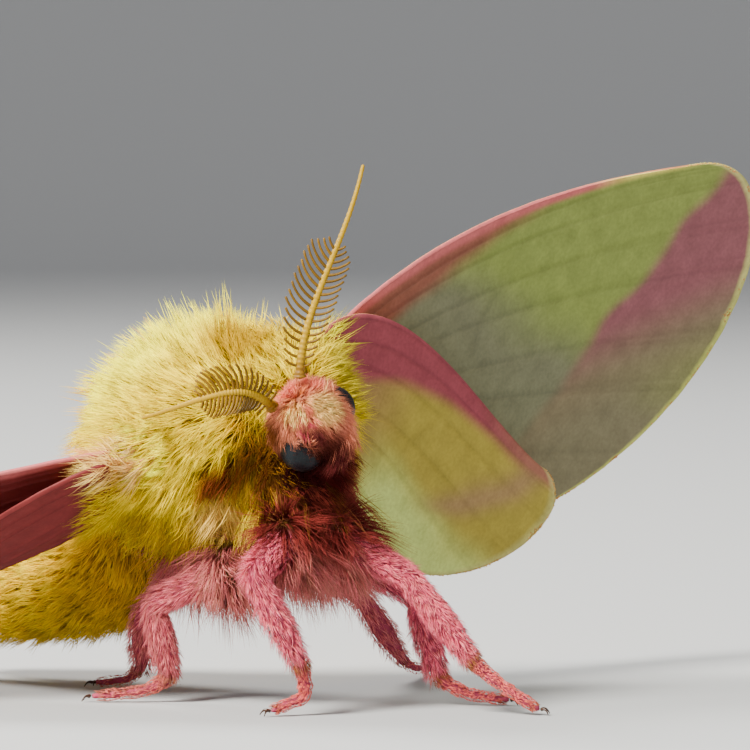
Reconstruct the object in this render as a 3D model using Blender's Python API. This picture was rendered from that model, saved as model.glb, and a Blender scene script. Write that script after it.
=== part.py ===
"""Rosy maple moth, a life-size still model standing on its feet.

All sizes are in millimetres while the model is built and are turned into
metres at the end. The moth looks towards -Y, its left side is towards +X
and the floor is at Z = 0.
"""

import math
import random

import bmesh
import bpy
from mathutils import Matrix, Vector

MM = 0.001
GAP = 0.3
SEED = 4
SHORTEST_EDGE = 0.003

# Attitude of the thorax and of the head, in degrees
BODY_YAW = 10.0
BODY_PITCH = 20.0
BODY_ROLL = 22.0
HEAD_YAW = 25.0
HEAD_PITCH = -5.0
HEAD_ROLL = 46.0

# Thorax: place and half sizes of its core under the coat
THORAX_PLACE = (-2.85, 5.6, 7.2)
THORAX_HALF_LENGTH = 3.2
THORAX_HALF_WIDTH = 2.75
THORAX_HALF_HEIGHT = 2.6
THORAX_COAT = 0.95
THORAX_ROWS = 7

# Breast and collar: the upright front of the thorax, behind the head
BREAST_PLACE = (-1.3, 3.45, 7.45)
BREAST_ROLL = 0.0
BREAST_HALF_DEPTH = 1.75
BREAST_HALF_WIDTH = 1.4
BREAST_HALF_HEIGHT = 2.75
BREAST_ROWS = 4

# Head core, eyes and their places in the head's own directions
HEAD_PLACE = (-1.62, 0.66, 7.84)
HEAD_RADIUS = 1.05
HEAD_COAT = 0.35
EYE_RADIUS = 0.62
EYE_SIDE = 0.74
EYE_FORWARD = 0.2
EYE_DOWN = 0.12
EYE_GAP = 0.2

# Abdomen: a bent tapering form, held clear of the floor
ABDOMEN_BEND = (-3.9, 10.5, 2.8)
ABDOMEN_TURN = (-5.3, 13.2, 2.6)
ABDOMEN_TIP = (-7.5, 15.8, 1.9)
ABDOMEN_RADIUS = 2.05
ABDOMEN_TAPER = 0.55
ABDOMEN_COAT = 0.5
ABDOMEN_SEGMENTS = 7
GROOVE_DEPTH = 0.12
ABDOMEN_LOCK_ROWS = 6
ABDOMEN_ROOT_LOCKS = 8.0
ABDOMEN_TIP_LOCKS = 5.5

# Antennae
SHAFT_RADIUS = 0.27
SHAFT_TIP_RADIUS = 0.13
RAMI_PAIRS = 6
RAMI_SHARE = 0.62
RAMUS_LENGTH = 1.05
RAMI_TURN = 25.0
RAMI_OPENING = 25.0
RAMUS_RADIUS = 0.22
RAMUS_TIP_RADIUS = 0.08
FACE_AZIMUTH = 20.0

# Wings: the right ones droop, are cupped and have the hindwing half closed.
# A tilt gives the chord's angle at its front and its rear, in degrees, and the
# width over which one turns into the other
WING_SWEEP = 19.0
LEFT_LIFT = 20.5
RIGHT_LIFT = -11.0
RIGHT_DROOP = 1.6
LEFT_TILT = (76.0, 76.0, 3.0)
RIGHT_BASE_TILT = (36.0, -4.0, 2.6)
RIGHT_TIP_TILT = (24.0, 0.0, 6.0)
RIGHT_HIND_FRONT_TURN = -10.0
RIGHT_HIND_REAR_TURN = 36.0
HINGE_FORWARD = 0.5
HINGE_SIDE = 2.8
WING_STATIONS = 6
SLOT_STEPS = 4
SLOT_START = -0.06
FORE_SLOT = 0.3
HIND_SLOT = 0.55
LEFT_HINGE_UP = 0.3
RIGHT_HINGE_UP = 0.7
MEMBRANE = 0.5
VEIN = 0.78
WING_STEP = 0.9

# Legs
LEG_SIDES = 6
THIGH_RADIUS = 0.56
KNEE_RADIUS = 0.42
SHIN_RADIUS = 0.5
TOE_RADIUS = 0.27
SOLE_HEIGHT = 0.12
FRINGE_LENGTH = 0.95
FRINGE_LIFT = 0.32
FRINGE_SPOTS = ((0, 0.9), (4, 0.0), (4, 0.9))

# Colours: red, green, blue
YELLOW = (0.86, 0.68, 0.10)
PALE_YELLOW = (0.88, 0.78, 0.34)
PINK = (0.78, 0.28, 0.34)
WING_PINK = (0.80, 0.42, 0.45)
OCHRE = (0.62, 0.40, 0.08)
EYE_BLACK = (0.02, 0.02, 0.03)


def directions(yaw, pitch, roll):
    """Forward, left and up of a body part turned by these degrees."""
    yaw, pitch, roll = (math.radians(v) for v in (yaw, pitch, roll))
    flat = math.cos(pitch)
    forward = Vector((math.sin(yaw) * flat, -math.cos(yaw) * flat, math.sin(pitch)))
    level = Vector((math.cos(yaw), math.sin(yaw), 0.0))
    up = forward.cross(level)
    left = level * math.cos(roll) + up * math.sin(roll)
    return forward, left, forward.cross(left)


BODY = directions(BODY_YAW, BODY_PITCH, BODY_ROLL)
BREAST = directions(BODY_YAW, BODY_PITCH, BREAST_ROLL)
HEAD = directions(HEAD_YAW, HEAD_PITCH, HEAD_ROLL)


def placed(centre, axes, offsets):
    """The point that lies these distances along the axes from the centre."""
    point = Vector(centre)
    for axis, offset in zip(axes, offsets):
        point = point + axis * offset
    return point


def make(name, verts, faces):
    mesh = bpy.data.meshes.new(name)
    mesh.from_pydata([tuple(v) for v in verts], [], faces)
    work = bmesh.new()
    work.from_mesh(mesh)
    bmesh.ops.recalc_face_normals(work, faces=work.faces)
    bmesh.ops.triangulate(work, faces=work.faces)
    work.to_mesh(mesh)
    work.free()
    ob = bpy.data.objects.new(name, mesh)
    bpy.context.scene.collection.objects.link(ob)
    return ob


def loft(name, rings, start, end):
    """A closed form through rings of points, ended by two points."""
    count = len(rings[0])
    verts = [start]
    for ring in rings:
        verts.extend(ring)
    verts.append(end)
    faces = []
    for i in range(count):
        faces.append((0, 1 + (i + 1) % count, 1 + i))
    for j in range(len(rings) - 1):
        a = 1 + j * count
        b = a + count
        for i in range(count):
            k = (i + 1) % count
            faces.append((a + i, a + k, b + k, b + i))
    a = 1 + (len(rings) - 1) * count
    for i in range(count):
        faces.append((a + i, a + (i + 1) % count, len(verts) - 1))
    return make(name, verts, faces)


def frame_along(points, i, side):
    """Two directions across a path at its point i."""
    before = points[max(i - 1, 0)]
    after = points[min(i + 1, len(points) - 1)]
    along = (after - before).normalized()
    across = (side - along * side.dot(along)).normalized()
    return along, across, along.cross(across)


def tube(name, points, radii, sides, side, flat=1.0):
    """A round tube along points, its ends closed by low domes."""
    rings = []
    for i, (point, radius) in enumerate(zip(points, radii)):
        along, across, over = frame_along(points, i, side)
        ring = []
        for k in range(sides):
            turn = 2.0 * math.pi * k / sides
            ring.append(point + across * (math.cos(turn) * radius)
                        + over * (math.sin(turn) * radius * flat))
        rings.append(ring)
    first = frame_along(points, 0, side)[0]
    last = frame_along(points, len(points) - 1, side)[0]
    start = points[0] - first * (radii[0] * 0.35)
    end = points[-1] + last * (radii[-1] * 0.35)
    return loft(name, rings, start, end)


def bezier(a, b, c, d, t):
    s = 1.0 - t
    return a * s ** 3 + b * (3 * s * s * t) + c * (3 * s * t * t) + d * t ** 3


def ball(name, centre, axes, halves, rows, sides):
    """An egg-shaped closed form with its poles along the first axis."""
    rings = []
    for j in range(1, rows):
        lean = math.pi * j / rows
        ring = []
        for k in range(sides):
            turn = 2.0 * math.pi * k / sides
            ring.append(placed(centre, axes, (
                -math.cos(lean) * halves[0],
                math.sin(lean) * math.cos(turn) * halves[1],
                math.sin(lean) * math.sin(turn) * halves[2])))
        rings.append(ring)
    start = placed(centre, axes, (-halves[0], 0.0, 0.0))
    end = placed(centre, axes, (halves[0], 0.0, 0.0))
    return loft(name, rings, start, end)


def lock(root, normal, lie, length, width, thick, sink, lift):
    """A flat tapered lock that rises from its root and bends along its lie."""
    lie = (lie - normal * lie.dot(normal)).normalized()
    side = lie.cross(normal)
    rings = []
    for share, wide, deep in ((0.0, 0.8, 1.0), (0.42, 1.0, 0.95), (0.76, 0.62, 0.62)):
        rise = lift * (1.0 - (1.0 - share) ** 2)
        centre = root + lie * (length * share) + normal * (rise - sink * (1.0 - share))
        half_width = side * (0.5 * width * wide)
        half_thick = normal * (0.5 * thick * deep)
        rings.append([centre - half_width, centre + half_thick,
                      centre + half_width, centre - half_thick])
    start = root - normal * (sink + 0.1) - lie * 0.1
    end = root + lie * length + normal * lift
    return loft("lock", rings, start, end)


def apply_boolean(ob, others, operation):
    group = bpy.data.collections.new("pieces")
    bpy.context.scene.collection.children.link(group)
    for other in others:
        for holder in list(other.users_collection):
            holder.objects.unlink(other)
        group.objects.link(other)
        other.hide_render = True
        other.display_type = "WIRE"
    modifier = ob.modifiers.new("pieces", "BOOLEAN")
    modifier.operation = operation
    modifier.operand_type = "COLLECTION"
    modifier.collection = group
    modifier.solver = "EXACT"
    view = bpy.context.evaluated_depsgraph_get()
    mesh = bpy.data.meshes.new_from_object(ob.evaluated_get(view))
    ob.modifiers.clear()
    ob.data = mesh
    for other in others:
        bpy.data.objects.remove(other)
    bpy.data.collections.remove(group)


def keep_largest(ob):
    """Keep the closed surface with the most faces and drop the rest."""
    work = bmesh.new()
    work.from_mesh(ob.data)
    work.faces.ensure_lookup_table()
    seen = set()
    shells = []
    for face in work.faces:
        if face.index in seen:
            continue
        shell = []
        stack = [face]
        seen.add(face.index)
        while stack:
            item = stack.pop()
            shell.append(item)
            for edge in item.edges:
                for other in edge.link_faces:
                    if other.index not in seen:
                        seen.add(other.index)
                        stack.append(other)
        shells.append(shell)
    shells.sort(key=len, reverse=True)
    spare = [face for shell in shells[1:] for face in shell]
    bmesh.ops.delete(work, geom=spare, context="FACES")
    loose = [vert for vert in work.verts if not vert.link_faces]
    bmesh.ops.delete(work, geom=loose, context="VERTS")
    bmesh.ops.triangulate(work, faces=work.faces)
    bmesh.ops.dissolve_degenerate(work, dist=SHORTEST_EDGE, edges=work.edges)
    bmesh.ops.triangulate(work, faces=work.faces)
    work.to_mesh(ob.data)
    work.free()


def finish(ob, name, colour, roughness):
    """Name the node and its data and give it its own material."""
    ob.name = name
    ob.data.name = name
    for polygon in ob.data.polygons:
        polygon.use_smooth = True
    material = bpy.data.materials.new(name)
    material.use_nodes = True
    shader = material.node_tree.nodes["Principled BSDF"]
    shader.inputs["Base Color"].default_value = (*colour, 1.0)
    shader.inputs["Roughness"].default_value = roughness
    shader.inputs["Metallic"].default_value = 0.0
    ob.data.materials.clear()
    ob.data.materials.append(material)
    return ob


# Wings

def wing_directions(side):
    """Along the costa, level backwards and upwards for one wing."""
    lift = math.radians(LEFT_LIFT if side > 0 else RIGHT_LIFT)
    sweep = math.radians(WING_SWEEP)
    flat = math.cos(lift)
    out = Vector((side * math.cos(sweep) * flat, math.sin(sweep) * flat, math.sin(lift)))
    back = Vector((-side * math.sin(sweep), math.cos(sweep), 0.0))
    up = out.cross(back) * side
    return out, back, up


FORE = {
    "base_start": 0.0, "base": 2.0, "start": (16.6, -0.3), "bend": (21.5, 0.2),
    "turn": (18.5, 8.0), "tornus": (9.8, 8.1), "front_bow": 1.5, "rise": 0.75,
    "fall": 1.0, "rear_bow": 0.25, "level": 0.0, "bow": 0.7,
    "veins": (0.11, 0.22, 0.34, 0.47, 0.6, 0.73, 0.87),
}
HIND = {
    "base_start": -1.2, "base": 3.3, "start": (8.6, 6.0), "bend": (10.6, 8.5),
    "turn": (3.9, 9.4), "tornus": (1.15, 5.0), "front_bow": 2.0, "rise": 0.5,
    "fall": 1.4, "rear_bow": 0.1, "level": -WING_STEP, "bow": 0.3,
    "veins": (0.14, 0.3, 0.46, 0.62, 0.8),
}


def front_curve(plan, r):
    """Bow of the front edge, 1 at its highest: rise shapes its base, fall its end."""
    rise, fall = plan["rise"], plan["fall"]
    peak = (rise / (rise + fall)) ** rise * (fall / (rise + fall)) ** fall
    return max(r, 0.0) ** rise * max(1.0 - r, 0.0) ** fall / peak


def plan_point(plan, q, r):
    """Place on a wing's plan: q from front to rear edge, r from base to margin."""
    base = Vector((0.0, plan["base_start"] + plan["base"] * q))
    ends = [Vector(plan[key]) for key in ("start", "bend", "turn", "tornus")]
    edge = bezier(*ends, q)
    along = edge - base
    forward = Vector((along.y, -along.x)).normalized()
    bow = plan["front_bow"] * (1.0 - q) * front_curve(plan, r)
    return base + along * r + forward * (bow - plan["rear_bow"] * q * 4.0 * r * (1.0 - r))


def tilts(side, share):
    """Front and rear tilt of the chord and the width between, at a share of the span."""
    if side > 0:
        front, rear, width = LEFT_TILT
    else:
        ease = 1.0 - (1.0 - share) ** 2
        front, rear, width = (a + (b - a) * ease for a, b in zip(RIGHT_BASE_TILT, RIGHT_TIP_TILT))
    return math.radians(front), math.radians(rear), width


def chord_curve(y, front, rear, width):
    """How far back and down a cupped chord has come at y, and its tilt there."""
    spot = min(max(y, 0.0), width)
    tilt = front + (rear - front) * spot / width
    if front > rear:
        bend = (front - rear) / width
        back = (math.sin(front) - math.sin(tilt)) / bend
        down = (math.cos(tilt) - math.cos(front)) / bend
    else:
        back = math.cos(front) * spot
        down = math.sin(front) * spot
    return back + (y - spot) * math.cos(tilt), down + (y - spot) * math.sin(tilt), tilt


def wing_point(side, plan, place, height):
    """A point of the wing's plan set in space, with its height over the plane."""
    out, back, up = wing_directions(side)
    hinge_up = LEFT_HINGE_UP if side > 0 else RIGHT_HINGE_UP
    hinge = placed(THORAX_PLACE, BODY, (HINGE_FORWARD, side * HINGE_SIDE, hinge_up))
    share = min(max(place.x / plan_reach(), 0.0), 1.0)
    back_by, down_by, tilt = chord_curve(place.y, *tilts(side, share))
    over = back * math.sin(tilt) + up * math.cos(tilt)
    curve = plan["bow"] * math.sin(math.pi * share)
    droop = 0.0 if side > 0 else RIGHT_DROOP * 4.0 * share * (1.0 - share)
    return (hinge + out * place.x + back * back_by - up * down_by
            + over * (height + curve + plan["level"]) - Vector((0.0, 0.0, droop)))


def plan_reach():
    return FORE["bend"][0]


def vein_rays(plan, foot):
    """Front edge, then foot, crest and foot of each vein, then rear edge."""
    rays = [(0.0, VEIN)]
    for q in plan["veins"]:
        rays.extend(((q - foot, MEMBRANE), (q, VEIN), (q + foot, MEMBRANE)))
    rays.append((1.0, MEMBRANE))
    return rays


def wing(side, plan):
    return wing_sheet(side, plan, vein_rays(plan, 0.02), WING_STATIONS, 0.0, 1.0, 0.0)


def wing_slot(side, plan, last):
    """The room that a wing's base needs in the thorax."""
    rays = [(q / SLOT_STEPS, VEIN) for q in range(SLOT_STEPS + 1)]
    return wing_sheet(side, plan, rays, SLOT_STEPS, SLOT_START, last, GAP)


def wing_sheet(side, plan, rays, stations, first, last, grow):
    """A thin wing along the given rays, with its veins raised in both faces."""
    tops, bottoms = [], []
    for q, thick in rays:
        turned = 0.0
        if side < 0 and plan is HIND:
            turned = math.radians(RIGHT_HIND_FRONT_TURN * (1.0 - q) - RIGHT_HIND_REAR_TURN * q)
        top, bottom = [], []
        for j in range(stations + 1):
            r = first + (last - first) * j / stations
            place = plan_point(plan, q, r)
            place.y += grow * (2.0 * q - 1.0)
            place.rotate(Matrix.Rotation(turned, 2))
            taper = 1.0 - 0.2 * max(r, 0.0)
            half = max(0.5 * thick * taper, 0.5 * MEMBRANE) + grow
            top.append(wing_point(side, plan, place, half))
            bottom.append(wing_point(side, plan, place, -half))
        tops.append(top)
        bottoms.append(bottom)
    return sheet("wing", tops, bottoms)


def sheet(name, tops, bottoms):
    """A closed sheet between two like grids, split into triangles alike."""
    rows = len(tops)
    cols = len(tops[0])
    verts = [p for row in tops for p in row] + [p for row in bottoms for p in row]
    lower = rows * cols
    faces = []
    for i in range(rows - 1):
        for j in range(cols - 1):
            a = i * cols + j
            b = a + 1
            c = a + cols
            d = c + 1
            faces.extend(((a, b, d), (a, d, c)))
            faces.extend(((lower + a, lower + d, lower + b), (lower + a, lower + c, lower + d)))
    rim = [j for j in range(cols)]
    rim += [i * cols + cols - 1 for i in range(1, rows)]
    rim += [(rows - 1) * cols + j for j in range(cols - 2, -1, -1)]
    rim += [i * cols for i in range(rows - 2, 0, -1)]
    for k, a in enumerate(rim):
        b = rim[(k + 1) % len(rim)]
        faces.extend(((a, lower + a, lower + b), (a, lower + b, b)))
    return make(name, verts, faces)


# Legs: base, knee, end of shin, bend of the foot and toe

LEGS = {
    "leg_fore_right": ((-1.95, 1.5, 4.6), (-3.4, 0.2, 3.85), (-2.05, 0.1, 1.35),
                       (-1.85, 0.3, 0.5), (-2.85, 0.3, 0.0)),
    "leg_fore_left": ((-0.3, 2.0, 4.6), (1.05, 0.25, 3.7), (2.5, -0.98, 1.4),
                      (3.2, -1.35, 0.75), (4.05, -1.8, 0.0)),
    "leg_mid_right": ((-2.7, 3.9, 3.9), (-4.65, 5.1, 2.7), (-4.1, 5.2, 0.7),
                      (-4.8, 5.5, 0.3), (-6.1, 6.1, 0.0)),
    "leg_mid_left": ((-0.1, 3.9, 4.3), (2.2, 2.7, 3.0), (2.6, 1.95, 0.7),
                     (3.3, 1.6, 0.3), (4.3, 1.1, 0.0)),
    "leg_hind_right": ((-3.0, 6.2, 4.0), (-4.2, 7.5, 2.2), (-3.9, 8.5, 0.7),
                       (-4.1, 9.2, 0.3), (-4.7, 10.3, 0.0)),
    "leg_hind_left": ((-0.6, 6.3, 4.5), (2.5, 7.8, 2.5), (4.2, 9.3, 0.65),
                      (4.9, 10.1, 0.3), (5.9, 11.2, 0.0)),
}


def leg_path(points, grow=0.0):
    """Smooth path and radii of one leg from its root to its toe."""
    base, knee, ankle, arch, toe = (Vector(p) for p in points)
    toe = Vector((toe.x, toe.y, SOLE_HEIGHT))
    path = [base, base.lerp(knee, 0.45), base.lerp(knee, 0.85), knee]
    radii = [THIGH_RADIUS, THIGH_RADIUS, KNEE_RADIUS * 1.1, KNEE_RADIUS]
    path += [knee.lerp(ankle, 0.18), knee.lerp(ankle, 0.5), knee.lerp(ankle, 0.85)]
    radii += [KNEE_RADIUS * 1.1, SHIN_RADIUS, KNEE_RADIUS * 0.85]
    path += [ankle.lerp(arch, 0.1), arch, toe]
    radii += [TOE_RADIUS * 1.25, TOE_RADIUS * 1.1, TOE_RADIUS]
    return path, [r + grow for r in radii]


def leg(name):
    """One leg with a fringe of locks on thigh and shin and two claws."""
    path, radii = leg_path(LEGS[name])
    leg_ob = tube(name, path, radii, LEG_SIDES, Vector((0.3, 0.2, 1.0)))
    for vert in leg_ob.data.vertices:
        vert.co.z = max(vert.co.z, 0.0)
    apply_boolean(leg_ob, leg_fringe(path, radii) + claws(path), "UNION")
    keep_largest(leg_ob)
    return leg_ob


def leg_fringe(path, radii):
    """Locks that hang behind the thigh and the shin, along the limb."""
    pieces = []
    for a, share in FRINGE_SPOTS:
        spot = path[a].lerp(path[a + 1], share)
        radius = radii[a] * (1.0 - share) + radii[a + 1] * share
        along = (path[a + 1] - path[a]).normalized()
        trail = Vector((spot.x - path[3].x, 1.0, -0.6)).normalized()
        normal = (trail - along * trail.dot(along)).normalized()
        root = spot + normal * (radius * 0.8)
        pieces.append(lock(root, normal, along, FRINGE_LENGTH, 0.7, 0.5, 0.3, FRINGE_LIFT))
    return pieces


def claws(path):
    """Two small hooks that spread from the toe and end on the floor."""
    toe = path[-1]
    ahead = (toe - path[-2]).normalized()
    ahead.z = 0.0
    ahead.normalize()
    aside = Vector((-ahead.y, ahead.x, 0.0))
    pieces = []
    for way in (1.0, -1.0):
        line = [toe + aside * (0.06 * way) + ahead * 0.05,
                toe + aside * (0.13 * way) + ahead * 0.32 + Vector((0.0, 0.0, 0.03)),
                toe + aside * (0.2 * way) + ahead * 0.5 - Vector((0.0, 0.0, 0.03))]
        pieces.append(tube("claw", line, (0.11, 0.09, 0.05), 4, Vector((0.0, 0.0, 1.0))))
    return pieces


# Abdomen

def abdomen_axis(share):
    root = placed(THORAX_PLACE, BODY, (-THORAX_HALF_LENGTH - GAP, -0.2, -0.9))
    return bezier(root, Vector(ABDOMEN_BEND), Vector(ABDOMEN_TURN), Vector(ABDOMEN_TIP), share)


def abdomen_radius(share):
    body = ABDOMEN_RADIUS * (1.0 - ABDOMEN_TAPER * share)
    body *= math.sqrt(max(1.0 - share ** 6, 0.0) + 0.04)
    wave = 0.5 - 0.5 * math.cos(2.0 * math.pi * share * ABDOMEN_SEGMENTS)
    return body - GROOVE_DEPTH * (1.0 - wave)


def abdomen_core(grow=0.0, last=1.0):
    steps = 2 * ABDOMEN_SEGMENTS
    points = [abdomen_axis(last * i / steps) for i in range(steps + 1)]
    radii = [abdomen_radius(last * i / steps) + grow for i in range(steps + 1)]
    radii[0] = radii[0] * 0.75
    return tube("abdomen", points, radii, 12, Vector((1.0, 0.0, 0.0)))


def curve_antenna(side):
    head = Vector(HEAD_PLACE)
    if side > 0:
        ends = ((-0.43, -0.38, 1.40), (-0.45, -0.55, 3.2), (0.95, -0.3, 4.9), (1.55, 0.1, 7.0))
    else:
        ends = ((-1.22, -0.25, 0.55), (-2.5, -1.5, 1.4), (-3.4, -1.0, 0.7), (-3.95, 2.5, 0.14))
    ends = [head + Vector(e) for e in ends]
    return lambda t: bezier(*ends, t)


def antenna(side):
    path = curve_antenna(side)
    steps = 10
    points = [path(i / steps) for i in range(steps + 1)]
    radii = [SHAFT_RADIUS + (SHAFT_TIP_RADIUS - SHAFT_RADIUS) * (i / steps) for i in range(steps + 1)]
    face = math.radians(FACE_AZIMUTH)
    toward = Vector((-math.sin(face), -math.cos(face), 0.0))
    shaft = tube("antenna", points, radii, 6, toward)
    pieces = []
    for k in range(RAMI_PAIRS):
        share = RAMI_SHARE * (k + 0.7) / RAMI_PAIRS
        spot = path(share)
        along = (path(share + 0.02) - path(share - 0.02)).normalized()
        across = along.cross(toward).normalized()
        over = across.cross(along)
        swell = math.sin(math.pi * (0.18 + 0.74 * (k + 0.5) / RAMI_PAIRS))
        for way in (1.0, -1.0):
            reach = RAMUS_LENGTH * swell
            lean = math.radians(RAMI_TURN * side + RAMI_OPENING * way)
            out = across * (way * math.cos(lean)) + over * math.sin(lean)
            line = []
            for s in (0.0, 0.5, 1.0):
                line.append(spot + out * (0.06 + reach * s)
                            + along * (reach * (0.15 * s + 0.35 * s * s) + 0.05 * way))
            sizes = (RAMUS_RADIUS, 0.5 * (RAMUS_RADIUS + RAMUS_TIP_RADIUS), RAMUS_TIP_RADIUS)
            pieces.append(tube("ramus", line, sizes, 4, toward))
    apply_boolean(shaft, pieces, "UNION")
    keep_largest(shaft)
    return shaft


def eye_place(side):
    return placed(HEAD_PLACE, HEAD, (EYE_FORWARD, side * EYE_SIDE, -EYE_DOWN))


# Coats

def egg_spot(centre, axes, halves, share, turn):
    """A point and its normal on an egg: share -1 to 1 along it, turn round it."""
    wide = math.sqrt(max(1.0 - share * share, 0.0))
    local = (share, wide * math.cos(turn), wide * math.sin(turn))
    point = placed(centre, axes, [v * h for v, h in zip(local, halves)])
    normal = placed((0.0, 0.0, 0.0), axes, [v / h for v, h in zip(local, halves)])
    return point, normal.normalized()


def thorax_lie(point, normal, share):
    """Hair runs backwards, and outwards and down on the flanks."""
    forward, left, up = BODY
    drop = Vector((0.0, 0.0, -1.0))
    low = max(0.0, -normal.dot(up) + 0.35)
    return -forward + normal * 0.2 + drop * (0.9 * low)


def near(point, places, distance):
    return any((point - Vector(p)).length < distance for p in places)


def breast_axes():
    """Upright through the breast, then left and forwards."""
    forward, left, up = BREAST
    return up, left, up.cross(left)


def breast_core(grow=0.0):
    halves = (BREAST_HALF_HEIGHT + grow, BREAST_HALF_WIDTH + grow, BREAST_HALF_DEPTH + grow)
    return ball("breast", BREAST_PLACE, breast_axes(), halves, 8, 12)


def inside_breast(point):
    halves = (BREAST_HALF_HEIGHT, BREAST_HALF_WIDTH, BREAST_HALF_DEPTH)
    away = point - Vector(BREAST_PLACE)
    return sum((away.dot(a) / h) ** 2 for a, h in zip(breast_axes(), halves)) < 1.0


def breast_locks(draw):
    """Locks of the breast and collar, which hang down and outwards."""
    halves = (BREAST_HALF_HEIGHT, BREAST_HALF_WIDTH, BREAST_HALF_DEPTH)
    forward, left, up = BREAST
    pieces = []
    for row in range(BREAST_ROWS):
        share = 0.85 - 1.5 * row / (BREAST_ROWS - 1)
        for k in range(7):
            turn = math.radians(-40.0 + 260.0 * (k + 0.5 * (row % 2)) / 6.5)
            point, normal = egg_spot(BREAST_PLACE, breast_axes(), halves, share, turn)
            outward = 1.0 if normal.dot(left) > 0 else -1.0
            lie = left * (0.6 * outward) - up * (0.9 if share < 0.6 else -0.5)
            length = draw.uniform(1.4, 1.8)
            lift = 0.8 * THORAX_COAT * draw.uniform(0.75, 1.05)
            pieces.append(lock(point, normal, lie, length, 1.45, 0.55, 0.4, lift))
    return pieces


def thorax_locks(draw):
    halves = (THORAX_HALF_LENGTH, THORAX_HALF_WIDTH, THORAX_HALF_HEIGHT)
    keep_clear = [placed(THORAX_PLACE, BODY, (HINGE_FORWARD, HINGE_SIDE, LEFT_HINGE_UP)),
                  placed(THORAX_PLACE, BODY, (HINGE_FORWARD, -HINGE_SIDE, RIGHT_HINGE_UP))]
    pieces = []
    for row in range(THORAX_ROWS):
        share = 0.93 - 1.72 * row / (THORAX_ROWS - 1)
        wide = math.sqrt(1.0 - share * share)
        count = max(5, round(2.0 * math.pi * THORAX_HALF_WIDTH * wide / 1.5))
        for k in range(count):
            turn = 2.0 * math.pi * (k + 0.5 * (row % 2) + draw.uniform(-0.15, 0.15)) / count
            point, normal = egg_spot(THORAX_PLACE, BODY, halves, share, turn)
            if near(point, keep_clear, 0.9) or inside_breast(point):
                continue
            lie = thorax_lie(point, normal, share)
            length = draw.uniform(1.9, 2.4)
            lift = THORAX_COAT * draw.uniform(0.75, 1.05)
            pieces.append(lock(point, normal, lie, length, 1.75, 0.55, 0.45, lift))
    return pieces


def head_locks(draw):
    halves = (HEAD_RADIUS, HEAD_RADIUS, HEAD_RADIUS)
    eyes = [eye_place(1), eye_place(-1)]
    roots = [curve_antenna(1)(0.0), curve_antenna(-1)(0.0)]
    pieces = []
    for row in range(4):
        share = 0.9 - 0.42 * row
        wide = math.sqrt(1.0 - share * share)
        count = max(4, round(2.0 * math.pi * HEAD_RADIUS * wide / 0.75))
        for k in range(count):
            turn = 2.0 * math.pi * (k + 0.5 * (row % 2)) / count
            point, normal = egg_spot(HEAD_PLACE, HEAD, halves, share, turn)
            if near(point, eyes, EYE_RADIUS + 0.3) or near(point, roots, 0.55):
                continue
            lie = HEAD[0] * 0.6 - HEAD[2] * 0.8
            pieces.append(lock(point, normal, lie, draw.uniform(0.7, 0.9), 0.62, 0.45, 0.3, HEAD_COAT))
    return pieces


def abdomen_locks(draw):
    pieces = []
    for row in range(ABDOMEN_LOCK_ROWS):
        share = 0.13 + 0.77 * row / (ABDOMEN_LOCK_ROWS - 1)
        centre = abdomen_axis(share)
        along = (abdomen_axis(share + 0.02) - abdomen_axis(share - 0.02)).normalized()
        side = along.cross(Vector((0.0, 0.0, 1.0))).normalized()
        over = side.cross(along)
        radius = abdomen_radius(share)
        count = round(ABDOMEN_ROOT_LOCKS * (1.0 - share) + ABDOMEN_TIP_LOCKS * share)
        for k in range(count):
            turn = 2.0 * math.pi * (k + 0.5 * (row % 2)) / count
            normal = side * math.cos(turn) + over * math.sin(turn)
            point = centre + normal * radius
            lift = ABDOMEN_COAT * draw.uniform(0.8, 1.1)
            length = draw.uniform(1.5, 1.8)
            if point.z + normal.z * lift + along.z * length < 0.3:
                continue
            pieces.append(lock(point, normal, along, length, 1.65, 0.55, 0.4, lift))
    return pieces


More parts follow.
